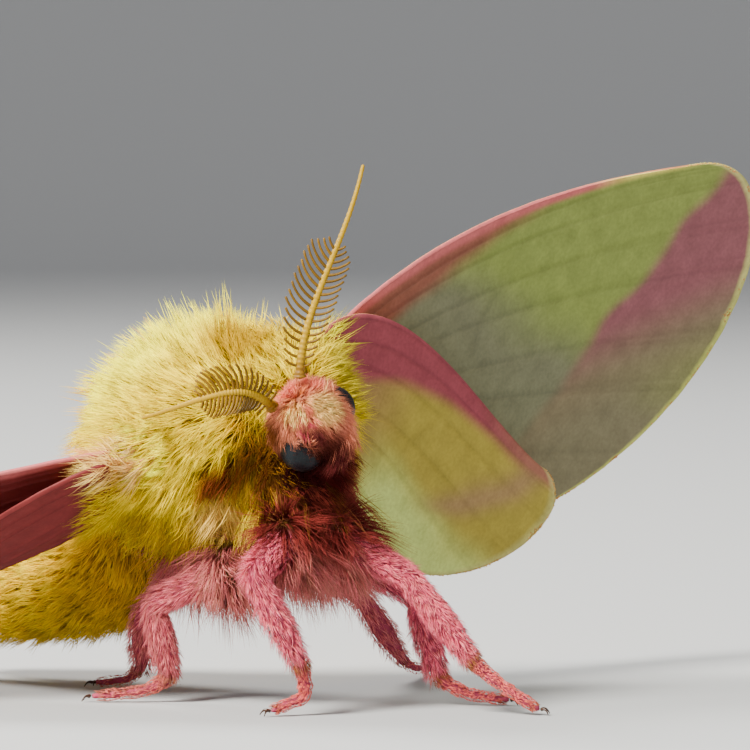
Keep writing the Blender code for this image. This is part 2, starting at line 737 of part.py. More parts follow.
def build():
    draw = random.Random(SEED)
    halves = (THORAX_HALF_LENGTH, THORAX_HALF_WIDTH, THORAX_HALF_HEIGHT)
    thorax = ball("thorax", THORAX_PLACE, BODY, halves, 10, 16)
    coat = thorax_locks(draw) + breast_locks(draw)
    apply_boolean(thorax, [breast_core()] + coat, "UNION")
    cutters = [abdomen_core(GAP, 0.35)]
    cutters.append(ball("cut", HEAD_PLACE, HEAD, (HEAD_RADIUS + HEAD_COAT + GAP,) * 3, 8, 12))
    for side in (1, -1):
        cutters.append(wing_slot(side, FORE, FORE_SLOT))
        cutters.append(wing_slot(side, HIND, HIND_SLOT))
    for name in LEGS:
        path, radii = leg_path(LEGS[name], GAP)
        path[0] = path[0].lerp(path[1], -0.5)
        cutters.append(tube("cut", path[:4], radii[:4], LEG_SIDES, Vector((0.3, 0.2, 1.0))))
    apply_boolean(thorax, cutters, "DIFFERENCE")
    keep_largest(thorax)
    finish(thorax, "thorax", YELLOW, 0.85)

    head = ball("head", HEAD_PLACE, HEAD, (HEAD_RADIUS,) * 3, 10, 16)
    apply_boolean(head, head_locks(draw), "UNION")
    cutters = [ball("cut", eye_place(s), HEAD, (EYE_RADIUS + EYE_GAP,) * 3, 8, 12) for s in (1, -1)]
    for side in (1, -1):
        path = curve_antenna(side)
        points = [path(-0.02 + 0.04 * i) for i in range(4)]
        cutters.append(tube("cut", points, [SHAFT_RADIUS + GAP] * 4, 6, Vector((0.0, -1.0, 0.0))))
    apply_boolean(head, cutters, "DIFFERENCE")
    keep_largest(head)
    finish(head, "head", WING_PINK, 0.85)

    for side, word in ((1, "left"), (-1, "right")):
        eye = ball("eye", eye_place(side), HEAD, (EYE_RADIUS,) * 3, 8, 12)
        finish(eye, "eye_" + word, EYE_BLACK, 0.2)
        finish(antenna(side), "antenna_" + word, OCHRE, 0.6)
        finish(wing(side, FORE), "forewing_" + word, WING_PINK, 0.7)
        finish(wing(side, HIND), "hindwing_" + word, PALE_YELLOW, 0.7)

    abdomen = abdomen_core()
    apply_boolean(abdomen, abdomen_locks(draw), "UNION")
    keep_largest(abdomen)
    finish(abdomen, "abdomen", YELLOW, 0.85)

    for name in LEGS:
        finish(leg(name), name, PINK, 0.8)


def settle():
    """Move the model over the origin and turn millimetres into metres."""
    parts = list(bpy.context.scene.objects)
    corners = [v.co for ob in parts for v in ob.data.vertices]
    middle_x = 0.5 * (min(c.x for c in corners) + max(c.x for c in corners))
    middle_y = 0.5 * (min(c.y for c in corners) + max(c.y for c in corners))
    move = Matrix.Scale(MM, 4) @ Matrix.Translation((-middle_x, -middle_y, 0.0))
    for ob in parts:
        ob.data.transform(move)


for item in list(bpy.data.objects):
    bpy.data.objects.remove(item)
build()
settle()
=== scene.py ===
"""Rosy maple moth: skin, coat, wings, antennae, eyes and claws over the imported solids.

Everything is modelled in millimetres in the same frame as the solids and is
turned into metres when each piece is made.
"""

import math

import bpy
import numpy as np
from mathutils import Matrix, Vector, kdtree


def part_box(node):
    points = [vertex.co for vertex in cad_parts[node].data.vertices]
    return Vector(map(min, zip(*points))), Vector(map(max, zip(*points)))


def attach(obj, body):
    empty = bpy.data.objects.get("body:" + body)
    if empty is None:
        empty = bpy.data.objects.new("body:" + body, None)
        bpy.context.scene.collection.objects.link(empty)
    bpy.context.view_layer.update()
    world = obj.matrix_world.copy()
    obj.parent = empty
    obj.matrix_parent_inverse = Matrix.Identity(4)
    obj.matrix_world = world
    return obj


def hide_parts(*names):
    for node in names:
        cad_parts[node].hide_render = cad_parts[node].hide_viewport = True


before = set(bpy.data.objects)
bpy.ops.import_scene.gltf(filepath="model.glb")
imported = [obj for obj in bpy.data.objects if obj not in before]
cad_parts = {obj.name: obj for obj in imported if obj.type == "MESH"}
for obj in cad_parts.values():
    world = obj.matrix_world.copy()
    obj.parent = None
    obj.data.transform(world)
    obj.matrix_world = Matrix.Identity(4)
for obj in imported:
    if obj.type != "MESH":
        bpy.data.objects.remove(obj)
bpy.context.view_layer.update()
RANDOM = np.random.default_rng(12)

MM = 0.001

# Attitude of the body, breast and head in degrees: yaw, pitch, roll
BODY_TURNS = (10.0, 20.0, 22.0)
BREAST_TURNS = (10.0, 20.0, 0.0)
HEAD_TURNS = (25.0, -5.0, 46.0)

# Body forms under the coat, in millimetres
THORAX_PLACE = np.array((-2.85, 5.6, 7.2))
THORAX_HALVES = (3.2, 2.75, 2.6)
BREAST_PLACE = np.array((-1.3, 3.45, 7.45))
BREAST_HALVES = (2.75, 1.4, 1.75)
HEAD_PLACE = np.array((-1.62, 0.66, 7.84))
HEAD_RADIUS = 1.05
# Eyes: their middles forward, outward and up from the head's, and the bare rim beyond the radius,
# which is negative where hair grows over the edge: 1 is the left eye, -1 the right
EYE_RADIUS = 0.62
EYE_OFFSETS = (0.2, 0.74, -0.12)
EYE_RIM = {1: -0.05, -1: -0.08}
EYE_GRID = (48, 72)
# Abdomen: ends of its curved middle line, the first from the thorax's middle in its own directions
ABDOMEN_ROOT = (-3.5, -0.2, -0.9)
ABDOMEN_BEND = (-3.9, 10.5, 2.8)
ABDOMEN_TURN = (-5.3, 13.2, 2.6)
ABDOMEN_TIP = (-7.5, 15.8, 1.9)
ABDOMEN_RADIUS = 2.05
ABDOMEN_TAPER = 0.55
ABDOMEN_SEGMENTS = 7
ABDOMEN_STEPS = 57
ABDOMEN_INSET = 0.05
GROOVE_DEPTH = 0.12

# Wings: angles in degrees; a tilt is the chord's angle at its front and rear and the width between;
# hinges are forward, left and up from the thorax's middle; the right hindwing is swung back and its
# front edge folded; a wing starts at a share of its length
WING_SWEEP = 19.0
WING_LIFT = {"left": 20.5, "right": -11.0}
BASE_TILT = {"left": (76.0, 76.0, 3.0), "right": (36.0, -4.0, 2.6)}
TIP_TILT = {"left": (76.0, 76.0, 3.0), "right": (24.0, 0.0, 6.0)}
DROOP = {"left": 0.0, "right": 1.6}
HINGE = {"left": (0.5, 2.8, 0.3), "right": (0.5, -2.8, 0.7)}
RIGHT_HIND_TURNS = (-10.0, -36.0)
WING_STEP = 0.9
FOLDED_FRONT = 0.16
WING_HALF_THICKNESS = 0.045
VEIN_HEIGHT = 0.06
WING_START = {"left": -0.05, "right": 0.03}

# Plans of the wings in millimetres: base chord, curve of the outer margin, bows of the front and
# rear edges, level and bow of the membrane, where the veins lie from front to rear, and the
# rows and columns of the mesh
FORE = {
    "base_start": 0.0, "base": 2.0, "edge": ((16.6, -0.3), (21.5, 0.2), (18.5, 8.0), (9.8, 8.1)),
    "front_bow": 1.5, "rise": 0.75, "fall": 1.0, "rear_bow": 0.25, "level": 0.0, "bow": 0.7,
    "veins": (0.03, 0.11, 0.22, 0.34, 0.47, 0.6, 0.73, 0.87), "grid": (130, 110),
}
HIND = {
    "base_start": -1.2, "base": 3.3, "edge": ((8.6, 6.0), (10.6, 8.5), (3.9, 9.4), (1.15, 5.0)),
    "front_bow": 2.0, "rise": 0.5, "fall": 1.4, "rear_bow": 0.1, "level": -WING_STEP, "bow": 0.3,
    "veins": (0.04, 0.14, 0.3, 0.46, 0.62, 0.8), "grid": (110, 84),
}

# Antennae: pairs of side branches, the share of the shaft that bears them and
# the longest branch on the upper or right side and on the lower or left side
RAMI_PAIRS = 18
RAMI_SHARE = 0.63
RAMUS_LENGTHS = {"left": (0.62, 0.9), "right": (0.84, 0.7)}
RAMUS_SWEEP = {"left": 0.45, "right": 0.1}
RAMI_LEAN = 14.0
FACE_AZIMUTH = 20.0

# Legs: base, knee, end of shin, bend of the foot and toe
LEGS = {
    "leg_fore_right": ((-1.95, 1.5, 4.6), (-3.4, 0.2, 3.85), (-2.05, 0.1, 1.35),
                       (-1.85, 0.3, 0.5), (-2.85, 0.3, 0.0)),
    "leg_fore_left": ((-0.3, 2.0, 4.6), (1.05, 0.25, 3.7), (2.5, -0.98, 1.4),
                      (3.2, -1.35, 0.75), (4.05, -1.8, 0.0)),
    "leg_mid_right": ((-2.7, 3.9, 3.9), (-4.65, 5.1, 2.7), (-4.1, 5.2, 0.7),
                      (-4.8, 5.5, 0.3), (-6.1, 6.1, 0.0)),
    "leg_mid_left": ((-0.1, 3.9, 4.3), (2.2, 2.7, 3.0), (2.6, 1.95, 0.7),
                     (3.3, 1.6, 0.3), (4.3, 1.1, 0.0)),
    "leg_hind_right": ((-3.0, 6.2, 4.0), (-4.2, 7.5, 2.2), (-3.9, 8.5, 0.7),
                       (-4.1, 9.2, 0.3), (-4.7, 10.3, 0.0)),
    "leg_hind_left": ((-0.6, 6.3, 4.5), (2.5, 7.8, 2.5), (4.2, 9.3, 0.65),
                      (4.9, 10.1, 0.3), (5.9, 11.2, 0.0)),
}
LEG_RADII = (0.5, 0.42, 0.34, 0.4, 0.25, 0.21, 0.19)
LEG_STEPS = 8
TOE_HEIGHT = 0.15
FOOT_START = 0.66
FOOT_RINGS = 12.0
RING_SWELL = 0.07
HIP_HALVES = (0.62, 0.62, 0.75)

# Coat colours as light values, red green blue from 0 to 1
LEMON = (0.82, 0.74, 0.0)
YELLOW = (0.80, 0.58, 0.0)
GOLD = (0.66, 0.34, 0.0)
OLIVE = (0.42, 0.24, 0.0)
UMBER = (0.12, 0.03, 0.002)
CREAM = (1.0, 0.60, 0.19)
TAN = (0.80, 0.50, 0.10)
MOSS = (0.50, 0.38, 0.02)
ORANGE = (0.75, 0.15, 0.0)
SALMON = (0.78, 0.24, 0.13)
PINK = (0.95, 0.13, 0.24)
PALE_PINK = (0.95, 0.30, 0.30)
ROSE = (0.50, 0.045, 0.08)
MAUVE = (0.17, 0.026, 0.03)
SHADE = (0.03, 0.002, 0.002)
RUST = (0.52, 0.19, 0.14)
BROWN = (0.30, 0.11, 0.03)
AMBER = (0.92, 0.60, 0.0)
CORAL = (0.85, 0.17, 0.09)
DEEP_ROSE = (0.22, 0.028, 0.024)

# Patches of the coat: place, reach, colour and strength
BODY_PATCHES = {
    "golden_back": ((-2.7, 3.3, 10.2), 1.05, (0.34, 0.17, 0.0), 0.85),
    "gold_cheek": ((-3.1, 1.7, 7.7), 0.7, GOLD, 0.7),
    # olive_flank and olive_root: painted shade low on the right flank
    "olive_flank": ((-4.9, 4.2, 4.4), 1.5, OLIVE, 0.6),
    "olive_root": ((-5.4, 5.4, 5.3), 1.0, OLIVE, 0.6),
    "moss_shoulder": ((0.1, 2.2, 9.0), 0.9, MOSS, 0.9),
    "brown_shoulder": ((-0.4, 2.0, 9.35), 0.35, BROWN, 0.7),
    "pale_wing_root": ((-5.9, 4.1, 7.0), 0.5, (0.95, 0.5, 0.3), 0.5),
    # rose_breast, rose_side, rose_right and rose_low_right: rose hair of the breast, darkened with
    # painted shade under the head
    "rose_breast": ((-1.1, 1.5, 4.9), 1.2, (0.24, 0.03, 0.024), 0.95),
    "rose_side": ((-2.3, 1.7, 5.8), 0.8, (0.26, 0.05, 0.03), 0.9),
    "rust_belly": ((-1.6, 4.2, 3.9), 1.7, RUST, 0.9),
    "rose_right": ((0.3, 1.9, 6.3), 1.1, (0.26, 0.04, 0.03), 0.95),
    "rose_low_right": ((0.2, 2.3, 5.3), 1.0, (0.30, 0.045, 0.04), 0.95),
    # maroon_hollow, maroon_cheek and maroon_fold: painted shade, near-black maroon in hollows and folds
    # of the coat beside and under the head
    "maroon_hollow": ((-3.7, 2.2, 6.0), 0.85, (0.15, 0.012, 0.008), 0.95),
    "maroon_cheek": ((-3.0, 1.9, 6.5), 0.75, (0.10, 0.008, 0.004), 0.95),
    "maroon_fold": ((-2.45, 2.3, 5.1), 0.75, (0.10, 0.005, 0.004), 0.95),
    # brown_collar: golden-brown collar hair, darkened to umber with painted shade beside and below the
    # eye
    "brown_collar": ((-2.6, 1.6, 7.1), 0.9, UMBER, 0.95),
    # throat, throat_low and throat_right: painted shade, near-black under the head
    "throat": ((-1.7, 1.1, 6.55), 0.95, SHADE, 1.0),
    "throat_low": ((-1.2, 1.0, 6.0), 0.8, SHADE, 1.0),
    "throat_right": ((-0.4, 1.2, 6.5), 0.8, (0.05, 0.002, 0.002), 1.0),
    "cream_tuft": ((-3.5, 2.8, 5.0), 0.85, TAN, 1.0),
}
FACE_PATCHES = {
    "salmon_side": ((-1.2, -0.4, 7.9), 0.5, (0.72, 0.20, 0.13), 0.8),
    "cream_brow": ((-1.5, -0.42, 8.38), 0.5, CREAM, 1.0),
    "cream_cheek": ((-2.45, -0.1, 8.3), 0.34, (0.93, 0.42, 0.12), 0.95),
    "rose_between": ((-2.02, -0.35, 8.25), 0.17, (0.78, 0.15, 0.10), 0.8),
    "rose_spot": ((-2.35, -0.3, 8.08), 0.14, ROSE, 0.9),
    "pink_crown": ((-1.6, 0.4, 9.0), 0.36, (0.80, 0.15, 0.10), 0.9),
    "pink_temple": ((-2.4, 0.55, 8.8), 0.35, (0.70, 0.10, 0.06), 0.9),
    "orange_spot": ((-2.1, 0.1, 8.85), 0.2, ORANGE, 1.0),
    # mauve_edge, the near-black rim below it and brown_side: painted shade, mauve-pink and umber hair
    # darkened along the face's lower edge and beside the eye
    "mauve_edge": ((-1.85, -0.5, 7.5), 0.34, MAUVE, 0.95),
    "shaded_face_rim": ((-1.3, -0.35, 7.15), 0.5, (0.06, 0.006, 0.005), 0.95),
    "brown_side": ((-2.8, 0.7, 7.6), 0.5, UMBER, 0.95),
}

# Hairs in each coat, on a wing's fringe and root, and on each hip and leg
HAIR_COUNTS = {
    "thorax_down": 38000, "thorax_locks": 9000, "breast_down": 17000, "breast_locks": 4000,
    "head": 16000, "abdomen": 15000, "fringe": 1800, "wing_root": 2000, "hip": 1900,
    "leg_fore_right": 5500, "leg_fore_left": 6000, "leg_mid_right": 5000, "leg_mid_left": 4500,
    "leg_hind_right": 2400, "leg_hind_left": 2400,
}
# Hair styles: rings of a hair, hairs of a tuft, length and width in millimetres, angles over the
# skin at the root and at the tip, spread of a tuft's lean, of its angle and of its shade, pull to
# the tuft's own tip, curl, and spread of a single hair's shade
STYLE_WORDS = ("rings", "tuft", "length", "width", "rise", "settle", "stray", "toss", "patchy", "pull",
               "curl", "fleck")
STYLE_ROWS = {
    "thorax_down": (2, 16, (0.85, 1.15), (0.018, 0.028), 54.0, 20.0, 0.2, 6.0, 0.07, 0.55, 0.018, 0.12),
    "thorax_locks": (3, 10, (1.05, 1.5), (0.026, 0.04), 58.0, 24.0, 0.26, 8.0, 0.09, 0.5, 0.03, 0.12),
    "breast_down": (2, 12, (0.6, 0.9), (0.018, 0.026), 46.0, 18.0, 0.2, 6.0, 0.09, 0.5, 0.02, 0.14),
    "breast_locks": (3, 8, (0.85, 1.25), (0.024, 0.036), 54.0, 22.0, 0.26, 8.0, 0.1, 0.45, 0.03, 0.14),
    "head": (2, 8, (0.34, 0.54), (0.014, 0.021), 38.0, 6.0, 0.16, 5.0, 0.08, 0.4, 0.015, 0.12),
    "abdomen": (2, 14, (0.7, 1.0), (0.022, 0.034), 34.0, 8.0, 0.2, 6.0, 0.08, 0.5, 0.02, 0.12),
    "leg": (2, 6, (0.22, 0.4), (0.014, 0.022), 24.0, 5.0, 0.16, 6.0, 0.1, 0.4, 0.03, 0.16),
    "belly": (2, 12, (0.9, 1.8), (0.02, 0.03), 44.0, 20.0, 0.2, 8.0, 0.12, 0.5, 0.03, 0.16),
    "wisps": (3, 7, (0.7, 1.15), (0.022, 0.032), 40.0, 10.0, 0.16, 8.0, 0.14, 0.6, 0.03, 0.2),
    "fringe": (2, 3, (0.06, 0.11), (0.045, 0.065), 2.0, 0.0, 0.06, 1.0, 0.05, 0.1, 0.01, 0.08),
    "wing_root": (2, 14, (0.8, 1.35), (0.02, 0.03), 30.0, 6.0, 0.28, 6.0, 0.1, 0.4, 0.03, 0.12),
}
STYLES = {name: dict(zip(STYLE_WORDS, row)) for name, row in STYLE_ROWS.items()}

# Tufts that stand out: form, place, reach, direction, colour, number of hairs and their length
# against the style's; each takes its roots from the same number of tries all over the form
STRAY_TRIES = 60000
STRAYS = {
    "throat_wisps": ("breast", (-3.0, 1.9, 6.2), 1.4, (0.75, -0.3, -0.35), (0.5, 0.2, 0.01), 220, 0.9),
    # breast_wisps: rose hair darkened with painted shade under the head
    "breast_wisps": ("breast", (-1.6, 1.9, 5.4), 1.2, (0.5, -0.5, -0.6), (0.30, 0.045, 0.03), 700,
                     0.8),
    "cream_tuft": ("thorax", (-3.5, 3.0, 5.2), 1.1, (0.35, -0.3, -0.9), TAN, 900, 0.9),
    "belly_fuzz": ("breast", (-1.0, 3.2, 4.2), 2.2, (0.15, -0.2, -1.0), RUST, 2600, 2.1),
    "rose_cheek": ("head", (-2.2, -0.35, 7.95), 0.35, (0.3, -0.4, -0.9), ROSE, 80, 0.5),
    # rose_rim: rose hair darkened with painted shade below the face
    "rose_rim": ("head", (-0.7, 0.0, 7.25), 0.6, (0.3, -0.4, -1.0), (0.15, 0.022, 0.022), 600, 0.8),
    "eye_shade": ("head", (-2.2, 0.0, 6.9), 0.5, (0.4, -0.7, 0.4), (0.04, 0.006, 0.003), 700, 0.5),
    "cream_cheek": ("head", (-2.4, -0.1, 8.3), 0.4, (-0.2, -0.5, -0.8), CREAM, 250, 0.45),
    "crown_left": ("head", (-1.3, 0.3, 8.9), 0.5, (0.2, 0.1, 1.0), (0.80, 0.2, 0.14), 220, 0.5),
    "crown_right": ("head", (-2.3, 0.6, 8.85), 0.4, (-0.5, 0.1, 0.9), (0.7, 0.13, 0.1), 180, 0.5),
    "shoulder_left": ("breast", (0.2, 2.8, 9.0), 1.3, (1.0, -0.35, 0.25), MOSS, 900, 1.1),
    "wing_tuft": ("thorax", (-5.1, 3.8, 7.1), 1.0, (-1.0, -0.35, -0.25), LEMON, 700, 1.05),
    "pale_wing_root": ("thorax", (-5.5, 4.1, 6.8), 0.7, (-1.0, -0.4, -0.1), (0.9, 0.55, 0.28), 220,
                       1.15),
}

# Spread of lengths between tufts, and of lean and angles in degrees between hairs
TUFT_SCALES = (0.72, 1.2)
HAIR_LEAN = 0.14
ROOT_TOSS = 7.0
TIP_TOSS = 9.0
SHADE_RANGE = (0.4, 1.6)
# Each hair's colour is darkened at the root as painted shade deep in the coat and lightened at the tip
# as painted light
ROOT_PAINTED_SHADE = np.array((0.66, 0.54, 0.45))
TIP_PAINTED_LIGHT = np.array((1.08, 1.12, 1.1))
MAP_PATCH = 0.003
PIECE_LIMIT = 185000
LOWEST_HAIR = 0.03
LOWEST_POINT = 0.004
ROOT_DEPTH = 0.05
SOCKET_RADIUS = 0.16
SKIN_INSET = 0.07
SKIN_SHADE = 0.35
SKIN_VOXEL = 0.12
SKIN_EGG_GRID = (24, 36)
SKIN_TUBE_SIDES = 16

# Slow turns in the lie of each coat: distance over which it turns, seed and strength
SWIRLS = {
    "thorax": (0.8, 3, 0.5), "breast": (0.7, 4, 0.4), "head": (0.3, 6, 0.3),
    "abdomen": (0.8, 7, 0.3), "leg": (0.4, 8, 0.3), "hip": (0.5, 12, 0.4), "tuft": (0.5, 11, 0.3),
}
# Ways in which the coat lies, and the heights and distances back between which it changes
THROAT_LIE = np.array((0.66, -0.24, -0.7))
PARTING = np.array((-2.05, 0.05, 8.75))
FACE_LIE = np.array((0.75, -0.27, -0.6))
CROWN_LIE = np.array((0.3, 0.5, 0.6))
BEARD = np.array((0.62, -0.5, -0.6))
HIP_LIE = np.array((0.1, -0.6, -0.8))
HANG_LIFT = 50.0
BEHIND_LEG = np.array((-0.15, 0.95, 0.1))
CREST = np.array((-0.5, 0.45, 0.75))
CROWN_HEIGHTS = (8.45, 8.85)
THROAT_HEIGHTS = (7.2, 6.4)
SHADE_HEIGHTS = (7.42, 7.02)
FLANK_SHADE_HEIGHTS = (5.6, 4.0)
FLANK_SHADE_ENDS = (9.0, 7.0)
TAIL_STARTS = (7.6, 8.6)
TAIL_GOLD_SHADE_ENDS = (11.5, 8.5)
TAIL_OLIVE_SHADE_HEIGHTS = (1.6, 0.6)
TAIL_FLAT_HEIGHTS = (1.4, 0.5)
HIP_HEIGHTS = (4.9, 4.0)
BACK_LEG_SHADE_STARTS = (3.0, 6.0)

# Slow waves on the wings, each with its distance and seed: in the outline of the marks, in
# their shade and in the height of the membrane
MARK_WAVES = (0.5, 5)
SHADE_WAVES = (0.16, 8)
SHADE_CHANGE = 0.10
QUILT_WAVES = (0.22, 9)
QUILT_HEIGHT = 0.016

# Wing colours as light values; the underside tones are darkened with painted shade, the upper ones are
# not, and the right wings' base and front-edge tones are darker still as painted shade
WING_TONES = {
    "green": (0.22, 0.265, 0.065), "grey": (0.165, 0.165, 0.095), "base": (0.24, 0.085, 0.055),
    "rose": (0.24, 0.085, 0.095), "faded": (0.19, 0.15, 0.085), "edge_pink": (0.5, 0.12, 0.12),
    "edge_yellow": (0.60, 0.52, 0.11), "lime": (0.42, 0.43, 0.10), "fringe": (0.50, 0.46, 0.16),
    "disc": (0.36, 0.28, 0.045), "hind_base": (0.30, 0.16, 0.065), "hind_rose": (0.28, 0.055, 0.07),
    "hind_end": (0.32, 0.125, 0.08), "faint": (0.32, 0.19, 0.09), "pale_green": (0.54, 0.63, 0.17),
    "right_painted_shade": (0.14, 0.02, 0.02), "right_edge": (0.42, 0.10, 0.10),
    "upper_yellow": (0.82, 0.60, 0.0), "upper_rose": (0.68, 0.10, 0.15),
    "upper_pale": (0.84, 0.66, 0.12), "fringe_above": (0.75, 0.50, 0.14),
}

# Antennae, claws and eyes: ends of each antenna's curve from the head's middle, radii and colours
ANTENNA_ENDS = {
    "left": ((-0.43, -0.38, 1.40), (-0.45, -0.55, 3.2), (0.95, -0.3, 4.9), (1.55, 0.1, 7.0)),
    "right": ((-1.22, -0.25, 0.55), (-2.5, -1.5, 1.4), (-3.4, -1.0, 0.7), (-3.95, 2.5, 0.14)),
}
SHAFT_RADII = (0.125, 0.05)
SHAFT_STEPS = 261
SHAFT_SIDES = 12
SHAFT_RINGS = 40
SOCKET_SWELL = 1.45
RAMUS_RADIUS = 0.048
ANTENNA_SHAFT = (0.33, 0.19, 0.0)
ANTENNA_BASE = (0.17, 0.075, 0.002)
RAMUS_TONE = (0.125, 0.06, 0.001)
CLAW_RADIUS = 0.05
LOWEST_CLAW = 0.005
CLAW_BROWN = (0.04, 0.014, 0.006)
EYE_BLACK = (0.004, 0.006, 0.008)

# Camera in degrees, millimetres and pixels; its clipping, the floor and the lamps in metres
VIEW_AZIMUTH = -20.0
VIEW_PITCH = 2.0
VIEW_DISTANCE = 160.0
VIEW_HEIGHT = 14.77
FOCAL_PIXELS = 5920.0
PHOTO_PIXELS = 750.0
SENSOR = 36.0
CLIP_RANGE = (0.01, 20.0)
FLOOR_START = -1.2
FLOOR_DEPTH = 0.7
FLOOR_WIDTH = 3.0
FLOOR_BEND = 0.5
FLOOR_HEIGHT = 1.6
FLOOR_DROP = 0.00001
FLOOR_TONE = (0.44, 0.44, 0.45, 1.0)
WORLD_TONE = (0.90, 0.92, 0.95, 1.0)
WORLD_STRENGTH = 0.5
LIT_PLACE = (0.0, 0.0, 0.007)
# Lamps: place, width, power in watts and colour
LAMPS = {
    "key": ((-0.25, -0.12, 0.26), 0.14, 5.4, (1.0, 0.99, 0.90)),
    "rim": ((-0.12, 0.24, 0.26), 0.16, 2.0, (1.0, 0.99, 0.92)),
    "fill": ((0.20, -0.42, 0.12), 0.30, 0.35, (1.0, 1.0, 1.0)),
}


def mixed(a, b, share):
    """Between colours a and b, row by row."""
    share = np.clip(np.asarray(share, float), 0.0, 1.0)[..., None]
    return np.asarray(a, float) * (1.0 - share) + np.asarray(b, float) * share


def smooth(low, high, value):
    share = np.clip((value - low) / (high - low), 0.0, 1.0)
    return share * share * (3.0 - 2.0 * share)


def washed(colour, *layers):
    """A colour with others laid over it, each with its share; a wing's colours by name."""
    colour = WING_TONES[colour] if isinstance(colour, str) else colour
    for tone, share in layers:
        colour = mixed(colour, WING_TONES[tone] if isinstance(tone, str) else tone, share)
    return colour


def painted(colour, points, patches):
    """Colours with soft patches laid over them."""
    for place, reach, tone, strength in patches.values():
        share = smooth(1.35 * reach, 0.6 * reach, away_from(place, points))
        colour = mixed(colour, tone, strength * share)
    return colour


def away_from(place, points):
    return np.linalg.norm(points - np.array(place), axis=1)


def unit(vectors):
    return vectors / np.maximum(np.linalg.norm(vectors, axis=-1, keepdims=True), 1e-9)


def directions(turns):
    """Forward, left and up of a body part turned by yaw, pitch and roll."""
    yaw, pitch, roll = (math.radians(v) for v in turns)
    forward = np.array((math.sin(yaw) * math.cos(pitch), -math.cos(yaw) * math.cos(pitch),
                        math.sin(pitch)))
    level = np.array((math.cos(yaw), math.sin(yaw), 0.0))
    up = np.cross(forward, level)
    left = level * math.cos(roll) + up * math.sin(roll)
    return np.array((forward, left, np.cross(forward, left)))


BODY = directions(BODY_TURNS)
HEAD = directions(HEAD_TURNS)
UPRIGHT = directions(BREAST_TURNS)
BREAST = np.array((UPRIGHT[2], UPRIGHT[1], np.cross(UPRIGHT[2], UPRIGHT[1])))
DOWN = np.array((0.0, 0.0, -1.0))


def eye_place(side):
    forward, outward, up = EYE_OFFSETS
    return HEAD_PLACE + HEAD[0] * forward + HEAD[1] * (side * outward) + HEAD[2] * up


def middle(node):
    low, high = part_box(node)
    return np.array((low + high) / 2)


SHIFT = middle("eye_left") - eye_place(1) * MM


def bezier(ends, t):
    a, b, c, d = (np.asarray(e, float) for e in ends)
    t = np.asarray(t, float)[..., None]
    s = 1.0 - t
    return a * s ** 3 + b * (3 * s * s * t) + c * (3 * s * t * t) + d * t ** 3


def placed(name, data):
    """An object in the scene for a mesh, a lamp or a camera."""
    holder = bpy.data.objects.new(name, data)
    bpy.context.scene.collection.objects.link(holder)
    return holder


def aimed(holder, place, look):
    holder.location = place
    holder.rotation_mode = "QUATERNION"
    holder.rotation_quaternion = look.to_track_quat("-Z", "Y")


def mesh_piece(name, verts, blocks, material, colours=None, uvs=None, replaced=()):
    """A mesh in metres from points and blocks of faces, riding on the root body."""
    mesh = bpy.data.meshes.new(name)
    corners = np.concatenate([np.ravel(block) for block in blocks]).astype(np.int32)
    sizes = np.concatenate([np.full(len(block), block.shape[1]) for block in blocks])
    starts = np.concatenate(([0], np.cumsum(sizes)[:-1])).astype(np.int32)
    mesh.vertices.add(len(verts))
    mesh.vertices.foreach_set("co", (np.asarray(verts) * MM + SHIFT).astype(np.float32).ravel())
    mesh.loops.add(len(corners))
    mesh.loops.foreach_set("vertex_index", corners)
    mesh.polygons.add(len(sizes))
    mesh.polygons.foreach_set("loop_start", starts)
    mesh.polygons.foreach_set("use_smooth", np.ones(len(sizes), bool))
    mesh.update(calc_edges=True)
    if colours is not None:
        layer = mesh.color_attributes.new("tint", "FLOAT_COLOR", "POINT")
        rgba = np.ones((len(verts), 4), np.float32)
        rgba[:, :3] = np.clip(colours, 0.0, 1.0)
        layer.data.foreach_set("color", rgba.ravel())
    if uvs is not None:
        layer = mesh.uv_layers.new(name="OFBake")
        layer.data.foreach_set("uv", np.asarray(uvs, np.float32)[corners].ravel())
    mesh.materials.append(material)
    piece = placed(name, mesh)
    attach(piece, "root")
    if replaced:
        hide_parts(*replaced)


# Materials

def shader_of(name, values):
    """A new material with the shader's own values."""
    material = bpy.data.materials.new(name)
    material.use_nodes = True
    shader = material.node_tree.nodes["Principled BSDF"]
    for word, value in values.items():
        shader.inputs[word].default_value = value
    return material, material.node_tree, shader


def speckle_group():
    """Small light and dark change in a coloured surface, and a fine relief."""
    group = bpy.data.node_groups.new("speckle", "ShaderNodeTree")
    for way, word, kind in (("INPUT", "Color", "Color"), ("INPUT", "Scale", "Float"),
                            ("INPUT", "Amount", "Float"), ("OUTPUT", "Color", "Color"),
                            ("OUTPUT", "Height", "Float")):
        group.interface.new_socket(word, in_out=way, socket_type="NodeSocket" + kind)
    make, link = group.nodes.new, group.links.new
    inside, outside = make("NodeGroupInput"), make("NodeGroupOutput")
    place, noise = make("ShaderNodeTexCoord"), make("ShaderNodeTexNoise")
    noise.inputs["Detail"].default_value = 3.0
    centred, scaled = make("ShaderNodeMath"), make("ShaderNodeMath")
    centred.operation = "SUBTRACT"
    centred.inputs[1].default_value = 0.5
    scaled.operation = "MULTIPLY_ADD"
    scaled.inputs[2].default_value = 1.0
    tint = make("ShaderNodeVectorMath")
    tint.operation = "SCALE"
    link(place.outputs["Object"], noise.inputs["Vector"])
    link(inside.outputs["Scale"], noise.inputs["Scale"])
    link(noise.outputs["Fac"], centred.inputs[0])
    link(centred.outputs[0], scaled.inputs[0])
    link(inside.outputs["Amount"], scaled.inputs[1])
    link(inside.outputs["Color"], tint.inputs[0])
    link(scaled.outputs[0], tint.inputs["Scale"])
    link(tint.outputs[0], outside.inputs["Color"])
    link(noise.outputs["Fac"], outside.inputs["Height"])
    return group


SPECKLE = speckle_group()


